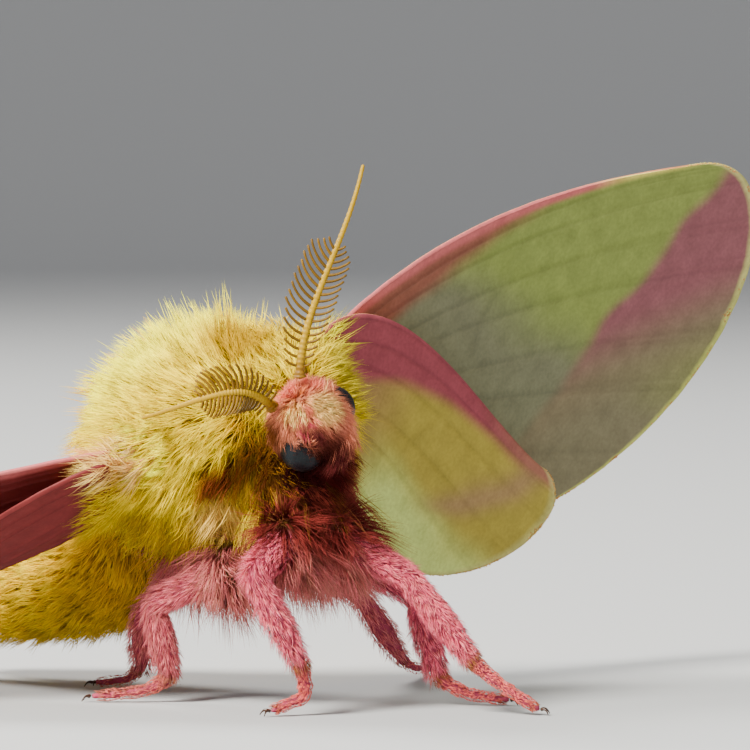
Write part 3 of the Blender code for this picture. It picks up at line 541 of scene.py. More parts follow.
def relief_from(tree, height, shader, depth, strength):
    """Bump from a height output, its depth in metres."""
    relief = tree.nodes.new("ShaderNodeBump")
    relief.inputs["Distance"].default_value = depth
    relief.inputs["Strength"].default_value = strength
    tree.links.new(height, relief.inputs["Height"])
    tree.links.new(relief.outputs["Normal"], shader.inputs["Normal"])
    return relief


def speckled(name, scale, amount, relief_depth, values, colour=None):
    """A material with a fine change of tone, over its own colour or the mesh's."""
    material, tree, shader = shader_of(name, values)
    speckle = tree.nodes.new("ShaderNodeGroup")
    speckle.node_tree = SPECKLE
    speckle.inputs["Scale"].default_value = scale
    speckle.inputs["Amount"].default_value = amount
    if colour is None:
        tint = tree.nodes.new("ShaderNodeVertexColor")
        tint.layer_name = "tint"
        tree.links.new(tint.outputs["Color"], speckle.inputs["Color"])
    else:
        speckle.inputs["Color"].default_value = (*colour, 1.0)
    tree.links.new(speckle.outputs["Color"], shader.inputs["Base Color"])
    if relief_depth:
        relief_from(tree, speckle.outputs["Height"], shader, relief_depth, 0.6)
    return material


def eye_material():
    """Near-black compound eye with fine facets and a dull gloss."""
    material = speckled("compound_eye", 3500.0, 1.4, 0.0,
                        {"Roughness": 0.3, "Specular IOR Level": 0.14, "Coat Weight": 0.04,
                         "Coat Roughness": 0.15}, EYE_BLACK)
    tree = material.node_tree
    place = tree.nodes.new("ShaderNodeTexCoord")
    facets = tree.nodes.new("ShaderNodeTexVoronoi")
    facets.inputs["Scale"].default_value = 15000.0
    facets.inputs["Randomness"].default_value = 0.2
    tree.links.new(place.outputs["Object"], facets.inputs["Vector"])
    shader = tree.nodes["Principled BSDF"]
    relief_from(tree, facets.outputs["Distance"], shader, 0.000014, 0.8).invert = True
    return material


HAIR = speckled("coat_hair", 2500.0, 0.4, 0.00001, {"Roughness": 0.75, "Specular IOR Level": 0.06})
SKIN = speckled("skin_under_coat", 4000.0, 0.6, 0.00004,
                {"Roughness": 0.8, "Specular IOR Level": 0.1})
WING_SCALES = speckled("wing_scales", 9000.0, 0.5, 0.00001,
                       {"Roughness": 0.7, "Specular IOR Level": 0.1})
HORN = speckled("antenna_horn", 6000.0, 0.5, 0.000008, {"Roughness": 0.5, "Specular IOR Level": 0.2})
EYE = eye_material()
CLAW = speckled("claw_horn", 12000.0, 1.2, 0.000006, {"Roughness": 0.25}, CLAW_BROWN)


# Body forms

def egg(centre, axes, halves):
    return {"kind": "egg", "centre": centre, "axes": axes, "halves": np.array(halves, float)}


def tube_form(points, radii):
    return {"kind": "tube", "points": np.array(points), "radii": np.array(radii)}


def abdomen_form():
    root = THORAX_PLACE + BODY.T @ np.array(ABDOMEN_ROOT)
    share = np.linspace(0.0, 0.985, ABDOMEN_STEPS)
    points = bezier((root, ABDOMEN_BEND, ABDOMEN_TURN, ABDOMEN_TIP), share)
    wave = 0.5 + 0.5 * np.cos(2.0 * math.pi * share * ABDOMEN_SEGMENTS)
    radii = ABDOMEN_RADIUS * (1.0 - ABDOMEN_TAPER * share)
    radii = radii * np.sqrt(np.maximum(1.0 - share ** 6, 0.0) + 0.04)
    return tube_form(points, radii - GROOVE_DEPTH * wave - ABDOMEN_INSET)


def leg_form(name):
    """A leg's smooth line with slight swellings along the foot."""
    spots = [np.array(p) for p in LEGS[name]]
    base, knee, ankle, arch, toe = spots
    toe[2] = TOE_HEIGHT
    spots = [base, 0.5 * (base + knee), knee, 0.5 * (knee + ankle), ankle, arch, toe]
    steps = np.linspace(0.0, len(spots) - 1.0, LEG_STEPS * (len(spots) - 1) + 1)
    order = np.arange(len(spots))
    points = np.stack([np.interp(steps, order, [s[k] for s in spots]) for k in range(3)], axis=1)
    share = steps / steps[-1]
    swell = np.sin(share * 2.0 * math.pi * FOOT_RINGS) * smooth(FOOT_START, FOOT_START + 0.05, share)
    radii = np.interp(steps, order, LEG_RADII) * (1.0 + RING_SWELL * swell)
    for _ in range(3):
        points[1:-1] = 0.5 * points[1:-1] + 0.25 * (points[:-2] + points[2:])
    return tube_form(points, radii)


FORMS = {
    "thorax": egg(THORAX_PLACE, BODY, THORAX_HALVES),
    "breast": egg(BREAST_PLACE, BREAST, BREAST_HALVES),
    "head": egg(HEAD_PLACE, HEAD, (HEAD_RADIUS,) * 3),
    "abdomen": abdomen_form(),
}
FORMS.update({name: leg_form(name) for name in LEGS})
HIPS = ["hip" + name[3:] for name in LEGS]
FORMS.update({hip: egg(FORMS[name]["points"][0], UPRIGHT, HIP_HALVES)
              for hip, name in zip(HIPS, LEGS)})


def inside(form, points, margin=0.0):
    """Which points lie in the form, less the margin."""
    if form["kind"] == "egg":
        local = (points - form["centre"]) @ form["axes"].T
        return np.sum((local / (form["halves"] - margin)) ** 2, axis=1) < 1.0
    hit = np.zeros(len(points), bool)
    for point, radius in zip(form["points"][::2], form["radii"][::2]):
        hit |= np.sum((points - point) ** 2, axis=1) < (radius - margin) ** 2
    return hit


def tube_frames(points):
    along = unit(np.gradient(points, axis=0))
    side = unit(np.cross(along, np.array((0.05, 0.1, 1.0))))
    return along, side, np.cross(side, along)


def outside_of(points, names, margin=0.0):
    """Which points lie outside the named forms and a margin round them."""
    keep = np.ones(len(points), bool)
    for name in names:
        keep &= ~inside(FORMS[name], points, -margin)
    return keep


def egg_roots(name, count, hidden=(), margin=0.0):
    """Even random roots on an egg: places, normals, unwrapped places, own directions.

    Roots in the hidden forms, or nearer to them than the margin, are left out.
    """
    form = FORMS[name]
    halves = form["halves"]
    local = unit(RANDOM.normal(size=(count * 3, 3)))
    area = np.linalg.norm(local / halves, axis=1)
    local = local[RANDOM.random(len(local)) < area / area.max()][:count]
    points = form["centre"] + (local * halves) @ form["axes"]
    normals = unit((local / halves) @ form["axes"])
    around = np.arctan2(local[:, 2], local[:, 1]) / (2.0 * math.pi) + 0.5
    uv = np.stack((around, 0.5 + 0.5 * local[:, 0]), axis=1) * 0.98 + 0.01
    keep = outside_of(points, hidden, margin)
    return points[keep], normals[keep], uv[keep], local[keep]


def tube_roots(name, count, low, high, hidden=()):
    """Even random roots on a tube: places, normals, unwrapped places, share, direction."""
    form = FORMS[name]
    along, side, over = tube_frames(form["points"])
    steps = len(form["points"]) - 1
    share = RANDOM.uniform(low, high, count * 3)
    radius = np.interp(share * steps, np.arange(steps + 1), form["radii"])
    keep = RANDOM.random(len(share)) < radius / form["radii"].max()
    share, radius = share[keep][:count], radius[keep][:count]

    def at(values):
        return np.stack([np.interp(share * steps, np.arange(steps + 1), v) for v in values.T],
                        axis=1)

    turn = RANDOM.uniform(0.0, 2.0 * math.pi, len(share))
    normals = unit(at(side) * np.cos(turn)[:, None] + at(over) * np.sin(turn)[:, None])
    points = at(form["points"]) + normals * radius[:, None]
    uv = np.stack((turn / (2.0 * math.pi), share), axis=1) * 0.98 + 0.01
    keep = outside_of(points, hidden)
    return points[keep], normals[keep], uv[keep], share[keep], unit(at(along))[keep]


def closed_rings(rings, ends):
    """Points and faces of rings closed by a point at each end."""
    rows, sides = rings.shape[:2]
    verts = np.vstack((rings.reshape(-1, 3), ends))
    grid = np.arange(rows * sides).reshape(rows, sides)
    following = np.roll(grid, -1, axis=1)
    quads = np.stack((grid[:-1], following[:-1], following[1:], grid[1:]), axis=-1).reshape(-1, 4)
    first = np.stack((np.full(sides, rows * sides), following[0], grid[0]), axis=1)
    last = np.stack((np.full(sides, rows * sides + 1), grid[-1], following[-1]), axis=1)
    return verts, quads, np.vstack((first, last))


def joined(parts):
    """Many closed forms as one list of points, quads and triangles."""
    starts = np.cumsum([0] + [len(part[0]) for part in parts[:-1]])
    verts = np.vstack([part[0] for part in parts])
    quads = np.vstack([part[1] + start for part, start in zip(parts, starts)])
    triangles = np.vstack([part[2] + start for part, start in zip(parts, starts)])
    return verts, quads, triangles


def ball_rings(centre, axes, halves, rows, sides):
    lean = np.linspace(0.0, math.pi, rows + 1)[1:-1]
    turn = np.linspace(0.0, 2.0 * math.pi, sides, endpoint=False)
    a, b = np.meshgrid(lean, turn, indexing="ij")
    local = np.stack((np.cos(a), np.sin(a) * np.cos(b), np.sin(a) * np.sin(b)), axis=-1)
    ends = [centre + axes[0] * (s * halves[0]) for s in (1, -1)]
    return closed_rings(centre + (local * halves) @ axes, ends)


def rod(points, radii, sides):
    """A closed rod along points."""
    points = np.asarray(points)
    along, side, over = tube_frames(points)
    turn = np.linspace(0.0, 2.0 * math.pi, sides, endpoint=False)
    ring = side[:, None] * np.cos(turn)[None, :, None] + over[:, None] * np.sin(turn)[None, :, None]
    ends = [points[0] - along[0] * radii[0] * 0.4, points[-1] + along[-1] * radii[-1] * 0.8]
    return closed_rings(points[:, None] + ring * np.asarray(radii)[:, None, None], ends)


def build_skin():
    """One closed skin over all the flesh, remeshed so that no seam shows."""
    parts = []
    for form in FORMS.values():
        if form["kind"] == "egg":
            parts.append(ball_rings(form["centre"], form["axes"], form["halves"] - SKIN_INSET,
                                    *SKIN_EGG_GRID))
        else:
            parts.append(rod(form["points"], form["radii"] - SKIN_INSET, SKIN_TUBE_SIDES))
    verts, quads, triangles = joined(parts)
    mesh = bpy.data.meshes.new("skin_forms")
    mesh.from_pydata(verts.tolist(), [], quads.tolist() + triangles.tolist())
    holder = placed("skin_forms", mesh)
    remesh = holder.modifiers.new("one_skin", "REMESH")
    remesh.mode = "VOXEL"
    remesh.voxel_size = SKIN_VOXEL
    soften = holder.modifiers.new("soften", "SMOOTH")
    soften.iterations = 4
    ready = bpy.context.evaluated_depsgraph_get()
    made = bpy.data.meshes.new_from_object(holder.evaluated_get(ready))
    bpy.data.objects.remove(holder)
    verts = np.empty(len(made.vertices) * 3, np.float32)
    made.vertices.foreach_get("co", verts)
    verts = verts.reshape(-1, 3).astype(float)
    verts[:, 2] = np.maximum(verts[:, 2], 0.01)
    faces = np.array([tuple(p.vertices) for p in made.polygons])
    mesh_piece("skin", verts, [faces], SKIN, body_colour(verts) * SKIN_SHADE,
               replaced=("thorax", "head", "abdomen", *LEGS))


# Coat

def swirl(points, coat):
    """Slow random change of direction from place to place."""
    scale, seed, strength = SWIRLS[coat]
    waves = np.random.default_rng(seed)
    total = np.zeros_like(points)
    for _ in range(6):
        way = unit(waves.normal(size=3)) / scale * waves.uniform(0.7, 1.5)
        wave = np.sin(points @ way + waves.uniform(0.0, 6.28))
        total += wave[:, None] * unit(waves.normal(size=3))
    return total / 2.4 * strength


def tufts_of(roots, size):
    """For each root, the root at the heart of its tuft."""
    hearts = RANDOM.choice(len(roots), max(len(roots) // size, 1), replace=False)
    tree = kdtree.KDTree(len(hearts))
    for k, heart in enumerate(hearts):
        tree.insert(Vector(roots[heart]), k)
    tree.balance()
    return hearts[np.array([tree.find(Vector(root))[1] for root in roots])]


def strand_paths(roots, normals, lies, lengths, rise, settle, rings):
    """Lines of hairs that leave the skin at one angle and end at a lower one."""
    side = unit(np.cross(lies, normals))
    lie = unit(np.cross(normals, side))
    lie = np.where(np.sum(lie * lies, axis=1, keepdims=True) < 0, -lie, lie)
    start = normals * np.sin(rise)[:, None] + lie * np.cos(rise)[:, None]
    end = normals * np.sin(settle)[:, None] + lie * np.cos(settle)[:, None]
    share = np.linspace(0.0, 1.0, rings + 1)
    path = start[:, None] * (share - share ** 2 / 2)[None, :, None]
    path = (path + end[:, None] * (share ** 2 / 2)[None, :, None]) * lengths[:, None, None]
    return path + (roots - normals * ROOT_DEPTH)[:, None]


def strand_points(path, normals, widths):
    """Three-sided hairs round their lines, thin towards the tip."""
    count, rings = len(path), path.shape[1] - 1
    along = unit(np.gradient(path, axis=1))
    across = unit(np.cross(along, normals[:, None]))
    over = np.cross(across, along)
    taper = np.linspace(1.0, 0.35, rings + 1)[:rings] ** 0.6
    verts = np.empty((count, rings * 3 + 1, 3))
    for j in range(rings):
        for k, (x, y) in enumerate(((-0.5, -0.15), (0.5, -0.15), (0.0, 0.3))):
            wide = (widths * taper[j])[:, None]
            verts[:, j * 3 + k] = path[:, j] + across[:, j] * (x * wide) + over[:, j] * (y * wide)
    verts[:, -1] = path[:, -1]
    return verts


def strand_faces(rings):
    quads = [(j * 3 + k, j * 3 + (k + 1) % 3, j * 3 + 3 + (k + 1) % 3, j * 3 + 3 + k)
             for j in range(rings - 1) for k in range(3)]
    last = (rings - 1) * 3
    triangles = [(2, 1, 0)] + [(last + k, last + (k + 1) % 3, rings * 3) for k in range(3)]
    return np.array(quads), np.array(triangles)


def grow(name, style_name, roots, normals, uv, lies, tones, longer=1.0, lift=0.0):
    """One coat: tufts that share a lean, a length and a shade, in pieces of limited size.

    The tones are one for each hair, or a function asked at the middle of each hair.
    """
    style = STYLES[style_name]
    count, rings = len(roots), style["rings"]
    heart = tufts_of(roots, style["tuft"])
    lean = RANDOM.normal(0.0, style["stray"], (count, 3))[heart]
    scale = (RANDOM.uniform(*TUFT_SCALES, count) * longer)[heart]
    tip_up = RANDOM.normal(0.0, style["toss"], count)[heart]
    tuft_shade = RANDOM.normal(1.0, style["patchy"], count)[heart]
    lies = unit(lies) + lean + RANDOM.normal(0.0, HAIR_LEAN, (count, 3))
    lengths = RANDOM.uniform(*style["length"], count) * scale
    rise, settle = (np.radians(style[word] + lift + tip_up + RANDOM.normal(0.0, toss, count))
                    for word, toss in (("rise", ROOT_TOSS), ("settle", TIP_TOSS)))
    path = strand_paths(roots, normals, lies, lengths, rise, settle, rings)
    share = np.linspace(0.0, 1.0, rings + 1)[None, :, None]
    hold = style["pull"] * RANDOM.uniform(0.3, 1.0, count)[:, None, None]
    path = path + (path[heart, -1:] - path[:, -1:]) * hold * share ** 1.5
    path = path + RANDOM.normal(0.0, style["curl"], path.shape) * share * lengths[:, None, None]
    path[..., 2] = np.maximum(path[..., 2], LOWEST_HAIR)
    verts = strand_points(path, normals, RANDOM.uniform(*style["width"], count))
    verts[..., 2] = np.maximum(verts[..., 2], LOWEST_POINT)
    shade = tuft_shade * RANDOM.normal(1.0, style["fleck"], count)
    tones = tones(0.5 * (path[:, 0] + path[:, -1])) if callable(tones) else tones
    tones = tones * np.clip(shade, *SHADE_RANGE)[:, None]
    quads, triangles = strand_faces(rings)
    per_piece = PIECE_LIMIT // (2 * len(quads) + len(triangles))
    order = np.argsort(uv[:, 1], kind="stable")
    for k, start in enumerate(range(0, count, per_piece)):
        pick = order[start:start + per_piece]
        label = name if count <= per_piece else "%s_%d" % (name, k + 1)
        hair_piece(label, verts[pick], quads, triangles, tones[pick], uv[pick])


def hair_piece(name, hairs, quads, triangles, tones, uv):
    """Hairs joined in one mesh, darker at the root as painted shade and lighter at the tip as painted
    light, each on its own map patch.
    """
    count, per = hairs.shape[:2]
    rings = (per - 1) // 3
    level = np.append(np.repeat(np.arange(rings), 3), rings) / rings
    shades = ROOT_PAINTED_SHADE + (TIP_PAINTED_LIGHT - ROOT_PAINTED_SHADE) * level[:, None] ** 0.7
    corner = np.append(np.tile((0.0, 0.5, 1.0), rings), 0.5)
    maps = uv[:, None] + np.stack((corner, level), axis=1)[None] * MAP_PATCH
    starts = (np.arange(count) * per)[:, None, None]
    blocks = [(faces[None] + starts).reshape(-1, faces.shape[1]) for faces in (quads, triangles)]
    mesh_piece(name, hairs.reshape(-1, 3), blocks, HAIR,
               (tones[:, None] * shades[None]).reshape(-1, 3), maps.reshape(-1, 2))


def body_colour(points):
    """Coat colour by place on the body, as light values."""
    # Painted light: lemon on the side toward the crest, the top lit from above; painted shade: olive
    # low on the flanks
    rim = unit(points - THORAX_PLACE) @ unit(CREST)
    low = smooth(*FLANK_SHADE_HEIGHTS, points[:, 2]) * smooth(*FLANK_SHADE_ENDS, points[:, 1])
    colour = washed(np.tile(YELLOW, (len(points), 1)), (LEMON, smooth(0.3, 0.85, rim)),
                    (OLIVE, 0.75 * low))
    colour = painted(colour, points, BODY_PATCHES)
    tail = smooth(*TAIL_STARTS, points[:, 1] + 0.35 * (points[:, 2] - 5.0))
    from_head = away_from(HEAD_PLACE, points) - HEAD_RADIUS
    from_leg = np.full(len(points), 9.0)
    for name in LEGS:
        form = FORMS[name]
        for point, radius in zip(form["points"][6::2], form["radii"][6::2]):
            from_leg = np.minimum(from_leg, away_from(point, points) - radius)
    return washed(colour, (abdomen_colour(points), tail),
                  (face_colour(points), smooth(0.3, 0.1, from_head)),
                  (PINK, smooth(0.5, 0.15, from_leg)))


def abdomen_colour(points):
    """Yellow, golden towards the root as painted shade from the thorax and wings, olive underneath as
    painted shade, with paler bands.
    """
    band = 0.5 + 0.5 * np.sin(points[:, 1] * 5.0 - points[:, 2] * 1.2)
    return washed(AMBER, (GOLD, smooth(*TAIL_GOLD_SHADE_ENDS, points[:, 1]) * 0.7 + 0.2 * band),
                  (OLIVE, smooth(*TAIL_OLIVE_SHADE_HEIGHTS, points[:, 2]) * 0.5))


def face_colour(points):
    colour = painted(np.tile(SALMON, (len(points), 1)), points, FACE_PATCHES)
    return mixed(colour, SHADE, smooth(*SHADE_HEIGHTS, points[:, 2]))


def thorax_coat():
    """Deep soft coat, brushed back over the top and out and down on the flanks."""
    for style in ("thorax_down", "thorax_locks"):
        roots, normals, uv, _ = egg_roots("thorax", HAIR_COUNTS[style],
                                          ("breast", "head", "abdomen"), 0.05)
        low = np.clip(0.35 - normals @ BODY[2], 0.0, 1.4)
        crest = smooth(0.1, 0.8, normals @ CREST)
        lies = -BODY[0] + DOWN * low[:, None] + swirl(roots, "thorax")
        grow("coat_" + style, style, roots, normals, uv, lies, body_colour,
             1.0 + 0.15 * low + 0.14 * crest, 20.0 * crest - 10.0 * low)


def breast_coat():
    """Collar that stands round the neck, and darker hair combed down below the face."""
    for style in ("breast_down", "breast_locks"):
        roots, normals, uv, local = egg_roots("breast", HAIR_COUNTS[style],
                                              ("thorax", "head", "abdomen"), 0.05)
        outward = np.sign(normals @ BREAST[1])[:, None] * BREAST[1]
        lies = outward * 0.6 + BREAST[0] * np.where(local[:, :1] > 0.3, 0.8, -0.9)
        throat = smooth(*THROAT_HEIGHTS, roots[:, 2])[:, None]
        lies = unit(lies) * (1.0 - throat) + THROAT_LIE * throat + swirl(roots, "breast")
        grow("coat_" + style, style, roots, normals, uv, lies, body_colour)


def head_coat():
    """Short hair of the face that parts between the antennae."""
    roots, normals, uv, _ = egg_roots("head", HAIR_COUNTS["head"], ("breast", "thorax"))
    clear = np.ones(len(roots), bool)
    for side in (1, -1):
        clear &= away_from(eye_place(side), roots) > EYE_RADIUS + EYE_RIM[side]
        socket = antenna_curve(side)(np.array((0.0,)))[0]
        clear &= away_from(socket, roots) > SOCKET_RADIUS
    roots, normals, uv = roots[clear], normals[clear], uv[clear]
    crown = smooth(*CROWN_HEIGHTS, roots[:, 2])[:, None]
    lies = (unit(roots - PARTING) + FACE_LIE) * (1.0 - crown) + CROWN_LIE * crown
    beard = smooth(0.2, 0.9, normals @ BEARD)
    grow("coat_head", "head", roots, normals, uv, lies + swirl(roots, "head"),
         face_colour, 1.0 + 0.25 * beard, 22.0 * crown[:, 0] + 8.0 * beard)


def abdomen_coat():
    roots, normals, uv, _, along = tube_roots("abdomen", HAIR_COUNTS["abdomen"], 0.0, 1.0,
                                              ("thorax",))
    low = smooth(*TAIL_FLAT_HEIGHTS, roots[:, 2])
    grow("coat_abdomen", "abdomen", roots, normals, uv,
         along + swirl(roots, "abdomen"), abdomen_colour, 1.0 - 0.4 * low, -22.0 * low)


def leg_coat(name):
    """Pink hair on thigh and shin, longest behind; short scales on the foot."""
    roots, normals, uv, share, along = tube_roots(name, HAIR_COUNTS[name], 0.03, 0.985)
    foot = smooth(FOOT_START - 0.02, FOOT_START + 0.04, share)
    behind = np.clip(normals @ BEHIND_LEG, 0.0, 1.0)
    lies = along * 1.2 + swirl(roots, "leg")
    pale = RANDOM.random(len(roots))
    knee = np.exp(-((share - FOOT_START) / 0.02) ** 2)
    toe = smooth(0.93, 0.98, share)
    # Painted shade: rose on the back of each leg and rust on the legs further back; pale and rose hairs
    # are also mixed in at random
    tones = washed(PINK, (PALE_PINK, pale ** 2 * 0.9),
                   (ROSE, smooth(0.55, 1.0, behind) * 0.35 + 0.3 * (pale < 0.25)),
                   (CORAL, foot * (0.25 + 0.6 * pale)), (BROWN, knee + 0.5 * toe),
                   (RUST, 0.45 * smooth(*BACK_LEG_SHADE_STARTS, roots[:, 1])))
    grow("coat_" + name, "leg", roots, normals, uv, lies, tones,
         (1.0 + 0.7 * behind) * (1.0 - 0.66 * foot), (16.0 * behind) * (1.0 - foot) - 8.0 * foot)


def hip_coat():
    """Longer rusty fuzz round the hips that hangs between the legs."""
    for hip, name in zip(HIPS, LEGS):
        roots, normals, uv, _ = egg_roots(hip, HAIR_COUNTS["hip"], ("breast", "thorax"))
        lies = HIP_LIE + swirl(roots, "hip")
        hang = HANG_LIFT * np.clip(normals @ unit(HIP_LIE), 0.0, 1.0)
        low = mixed(RUST, PINK, RANDOM.random(len(roots)) * 0.5)
        tones = mixed(DEEP_ROSE, low, smooth(*HIP_HEIGHTS, roots[:, 2]))
        grow("coat_" + hip, "belly", roots, normals, uv, lies, tones, 1.0, hang)


def stray_tufts():
    """Longer tufts where the photo's stand out; those of the body hang free of the skin."""
    for name, (form, place, reach, lie, tone, count, longer) in STRAYS.items():
        roots, normals, uv, _ = egg_roots(form, STRAY_TRIES)
        distance = away_from(place, roots)
        pick = np.nonzero(distance < reach)[0][:count]
        roots, normals, uv = roots[pick], normals[pick], uv[pick]
        lies = np.array(lie) + swirl(roots, "tuft")
        tones = mixed(body_colour(roots), tone, smooth(reach, 0.7 * reach, distance[pick]))
        node, free = ("head", 0.0) if form == "head" else ("thorax", HANG_LIFT)
        lift = free * np.clip(normals @ unit(np.array(lie)), 0.0, 1.0)
        grow("tuft_" + name, "wisps", roots, normals, uv, lies, tones, longer, lift)


# Wings

def front_curve(plan, r):
    rise, fall = plan["rise"], plan["fall"]
    peak = (rise / (rise + fall)) ** rise * (fall / (rise + fall)) ** fall
    return np.maximum(r, 0.0) ** rise * np.maximum(1.0 - r, 0.0) ** fall / peak


def plan_points(plan, q, r):
    """Places on a wing's plan: q from front to rear edge, r from base to margin."""
    base = np.stack((np.zeros_like(q), plan["base_start"] + plan["base"] * q), axis=-1)
    along = bezier(plan["edge"], q) - base
    ahead = unit(np.stack((along[..., 1], -along[..., 0]), axis=-1))
    bow = plan["front_bow"] * (1.0 - q) * front_curve(plan, r)
    bow = bow - plan["rear_bow"] * q * 4.0 * r * (1.0 - r)
    return base + along * r[..., None] + ahead * bow[..., None]


def chord_places(word, y, share):
    """How far back and down a chord's points lie, and the tilt of the wing there."""
    ease = 1.0 - (1.0 - share) ** 2
    front, rear, width = (b + (t - b) * ease for b, t in zip(BASE_TILT[word], TIP_TILT[word]))
    front, rear = np.radians(front), np.radians(rear)
    spot = np.clip(y, 0.0, width)
    tilt = front + (rear - front) * spot / width
    if word == "left":
        back, down = np.cos(tilt) * spot, np.sin(tilt) * spot
    else:
        curl = (front - rear) / width
        back = (np.sin(front) - np.sin(tilt)) / curl
        down = (np.cos(tilt) - np.cos(front)) / curl
    return back + (y - spot) * np.cos(tilt), down + (y - spot) * np.sin(tilt), tilt


def wing_places(word, plan, q, r, height):
    """Places in space at a height over the middle of the membrane."""
    side = 1.0 if word == "left" else -1.0
    folded = side < 0 and plan is HIND
    if folded:
        q = q + (1.0 - q) * FOLDED_FRONT * smooth(0.6, 0.0, r)
    places = plan_points(plan, q, r)
    x, y = places[..., 0], places[..., 1]
    if folded:
        first, last = (math.radians(turn) for turn in RIGHT_HIND_TURNS)
        turn = first + (last - first) * q
        x, y = x * np.cos(turn) - y * np.sin(turn), x * np.sin(turn) + y * np.cos(turn)
    lift, sweep = math.radians(WING_LIFT[word]), math.radians(WING_SWEEP)
    out = np.array((side * math.cos(sweep) * math.cos(lift), math.sin(sweep) * math.cos(lift),
                    math.sin(lift)))
    backward = np.array((-side * math.sin(sweep), math.cos(sweep), 0.0))
    upward = np.cross(out, backward) * side
    share = np.clip(x / FORE["edge"][1][0], 0.0, 1.0)
    back, down, tilt = chord_places(word, y, share)
    over = backward * np.sin(tilt)[..., None] + upward * np.cos(tilt)[..., None]
    ride = height + plan["bow"] * np.sin(math.pi * share) + plan["level"]
    hinge = THORAX_PLACE + np.array(HINGE[word]) @ BODY
    point = hinge + out * x[..., None] + backward * back[..., None] - upward * down[..., None]
    sag = DROOP[word] * 4.0 * share * (1.0 - share)
    return point + over * ride[..., None] + DOWN * sag[..., None]


def ripple(x, y, scale, seed):
    """Slow random mottling from a few crossed waves."""
    waves = np.random.default_rng(seed)
    total = np.zeros_like(x)
    for _ in range(9):
        angle, phase, pitch = (waves.uniform(low, high)
                               for low, high in ((0, 6.28), (0, 6.28), (0.6, 1.8)))
        total += np.sin((x * math.cos(angle) + y * math.sin(angle)) * pitch / scale + phase)
    return total / 5.0


def forewing_below(word, q, r, x, y, wave):
    """Underside of the forewing: green and grey, with rose base, front edge and outer band."""
    line = x - (18.5 - 1.69 * y) + 0.35 * wave
    band = washed("rose", ("faded", smooth(3.2, 5.2, y)))
    # On the right wings the front edge and the base are darker, as painted shade
    edge = washed("edge_pink" if word == "left" else "right_edge",
                  ("edge_yellow", smooth(12.6, 14.6, x)))
    right_shade = smooth(8.2, 6.6, x + 0.4 * wave) * (word == "right")
    rear_line = q - (0.38 - 0.026 * x) + 0.02 * wave
    return washed("grey", ("green", smooth(8.0, 11.5, x - 1.1 * (y - 2.0) + 0.5 * wave)),
                  ("base", smooth(0.05, -0.06, rear_line) * smooth(12.0, 8.5, x)),
                  ("base", smooth(4.2, 2.0, x + 0.4 * wave)), ("right_painted_shade", right_shade),
                  (band, smooth(-0.7, 0.5, line) * (1.0 - 0.45 * smooth(4.6, 6.5, y))),
                  (edge, smooth(0.10, 0.05, q) * smooth(1.0, 0.9, r)))


def hindwing_below(word, q, r, x, wave):
    """Underside of the hindwing: yellow, with a rose front edge and a faint outer band."""
    line = r - (0.98 - 0.55 * q) + 0.02 * wave
    faint = np.exp(-(line / 0.06) ** 2) * smooth(0.68, 0.5, q)
    # On the right hindwing the wider rose front band and the dark base are painted shade
    width = 0.11 + (0.35 if word == "left" else 0.6) * np.exp(-2.7 * r)
    front = washed("hind_rose", ("hind_end", smooth(0.6, 0.95, r)))
    right_shade = smooth(7.0, 5.5, x + 0.4 * wave) * (word == "right")
    return washed("hind_base", ("disc", smooth(0.12, 0.4, r + 0.03 * wave)),
                  ("pale_green", smooth(0.5, 0.72, q + 0.04 * wave) * smooth(0.2, 0.5, r)),
                  ("faint", faint * 0.85),
                  (front, smooth(width + 0.06, width - 0.03, q + 0.02 * wave)),
                  ("right_painted_shade", right_shade))


def wing_above(plan, q, r, x, y, wave):
    """Upper side: yellow with rose base and outer band; the hindwing paler."""
    if plan is HIND:
        return washed("upper_pale", ("upper_rose", smooth(0.2, 0.05, q + 0.03 * wave) * 0.6),
                      ("upper_rose", smooth(0.76, 0.86, r + 0.02 * wave) * 0.45))
    return washed("upper_yellow",
                  ("upper_rose", smooth(-0.5, 0.4, x - (18.4 - 1.6 * y) + 0.4 * wave)),
                  ("upper_rose", smooth(5.4, 4.4, x - 0.35 * y + 0.4 * wave)),
                  ("edge_pink", smooth(0.07, 0.03, q) * 0.8))


def wing_colour(word, plan, q, r, below):
    """Markings of one face of a wing."""
    places = plan_points(plan, q, r)
    x, y = places[..., 0], places[..., 1]
    wave = ripple(x, y, *MARK_WAVES)
    if not below:
        colour = wing_above(plan, q, r, x, y, wave)
        return mixed(colour, WING_TONES["fringe_above"], smooth(0.978, 0.99, r) * 0.7)
    if plan is FORE:
        fringe = washed("fringe", ("lime", smooth(0.4, 0.65, q)))
        colour = mixed(forewing_below(word, q, r, x, y, wave), fringe, smooth(0.98, 0.992, r))
    else:
        colour = mixed(hindwing_below(word, q, r, x, wave), WING_TONES["fringe"],
                       smooth(0.965, 0.985, r) * 0.7)
    return colour * (1.0 + SHADE_CHANGE * ripple(x, y, *SHADE_WAVES)[..., None])


def vein_height(plan, q, r):
    """Ridges of the veins, each forked near its end and lowest at the margin."""
    height = np.zeros_like(q)
    for k, vein in enumerate(plan["veins"]):
        way = 1.0 if k % 2 else -1.0
        line = vein + way * 0.02 * (1.0 - r)
        height = np.maximum(height, np.exp(-((q - line) / (0.006 + 0.006 * (1 - r))) ** 2))
        fork = line + way * 0.03 * np.clip((r - 0.6) / 0.4, 0.0, 1.0)
        branch = np.exp(-((q - fork) / 0.006) ** 2) * (r > 0.6)
        height = np.maximum(height, branch * 0.8)
    cross = np.exp(-((r - 0.46 - 0.05 * np.sin(9.0 * q)) / 0.01) ** 2) * ((q > 0.2) & (q < 0.62))
    return np.maximum(height, 0.7 * cross) * (1.0 - 0.5 * np.clip(r, 0.0, 1.0))


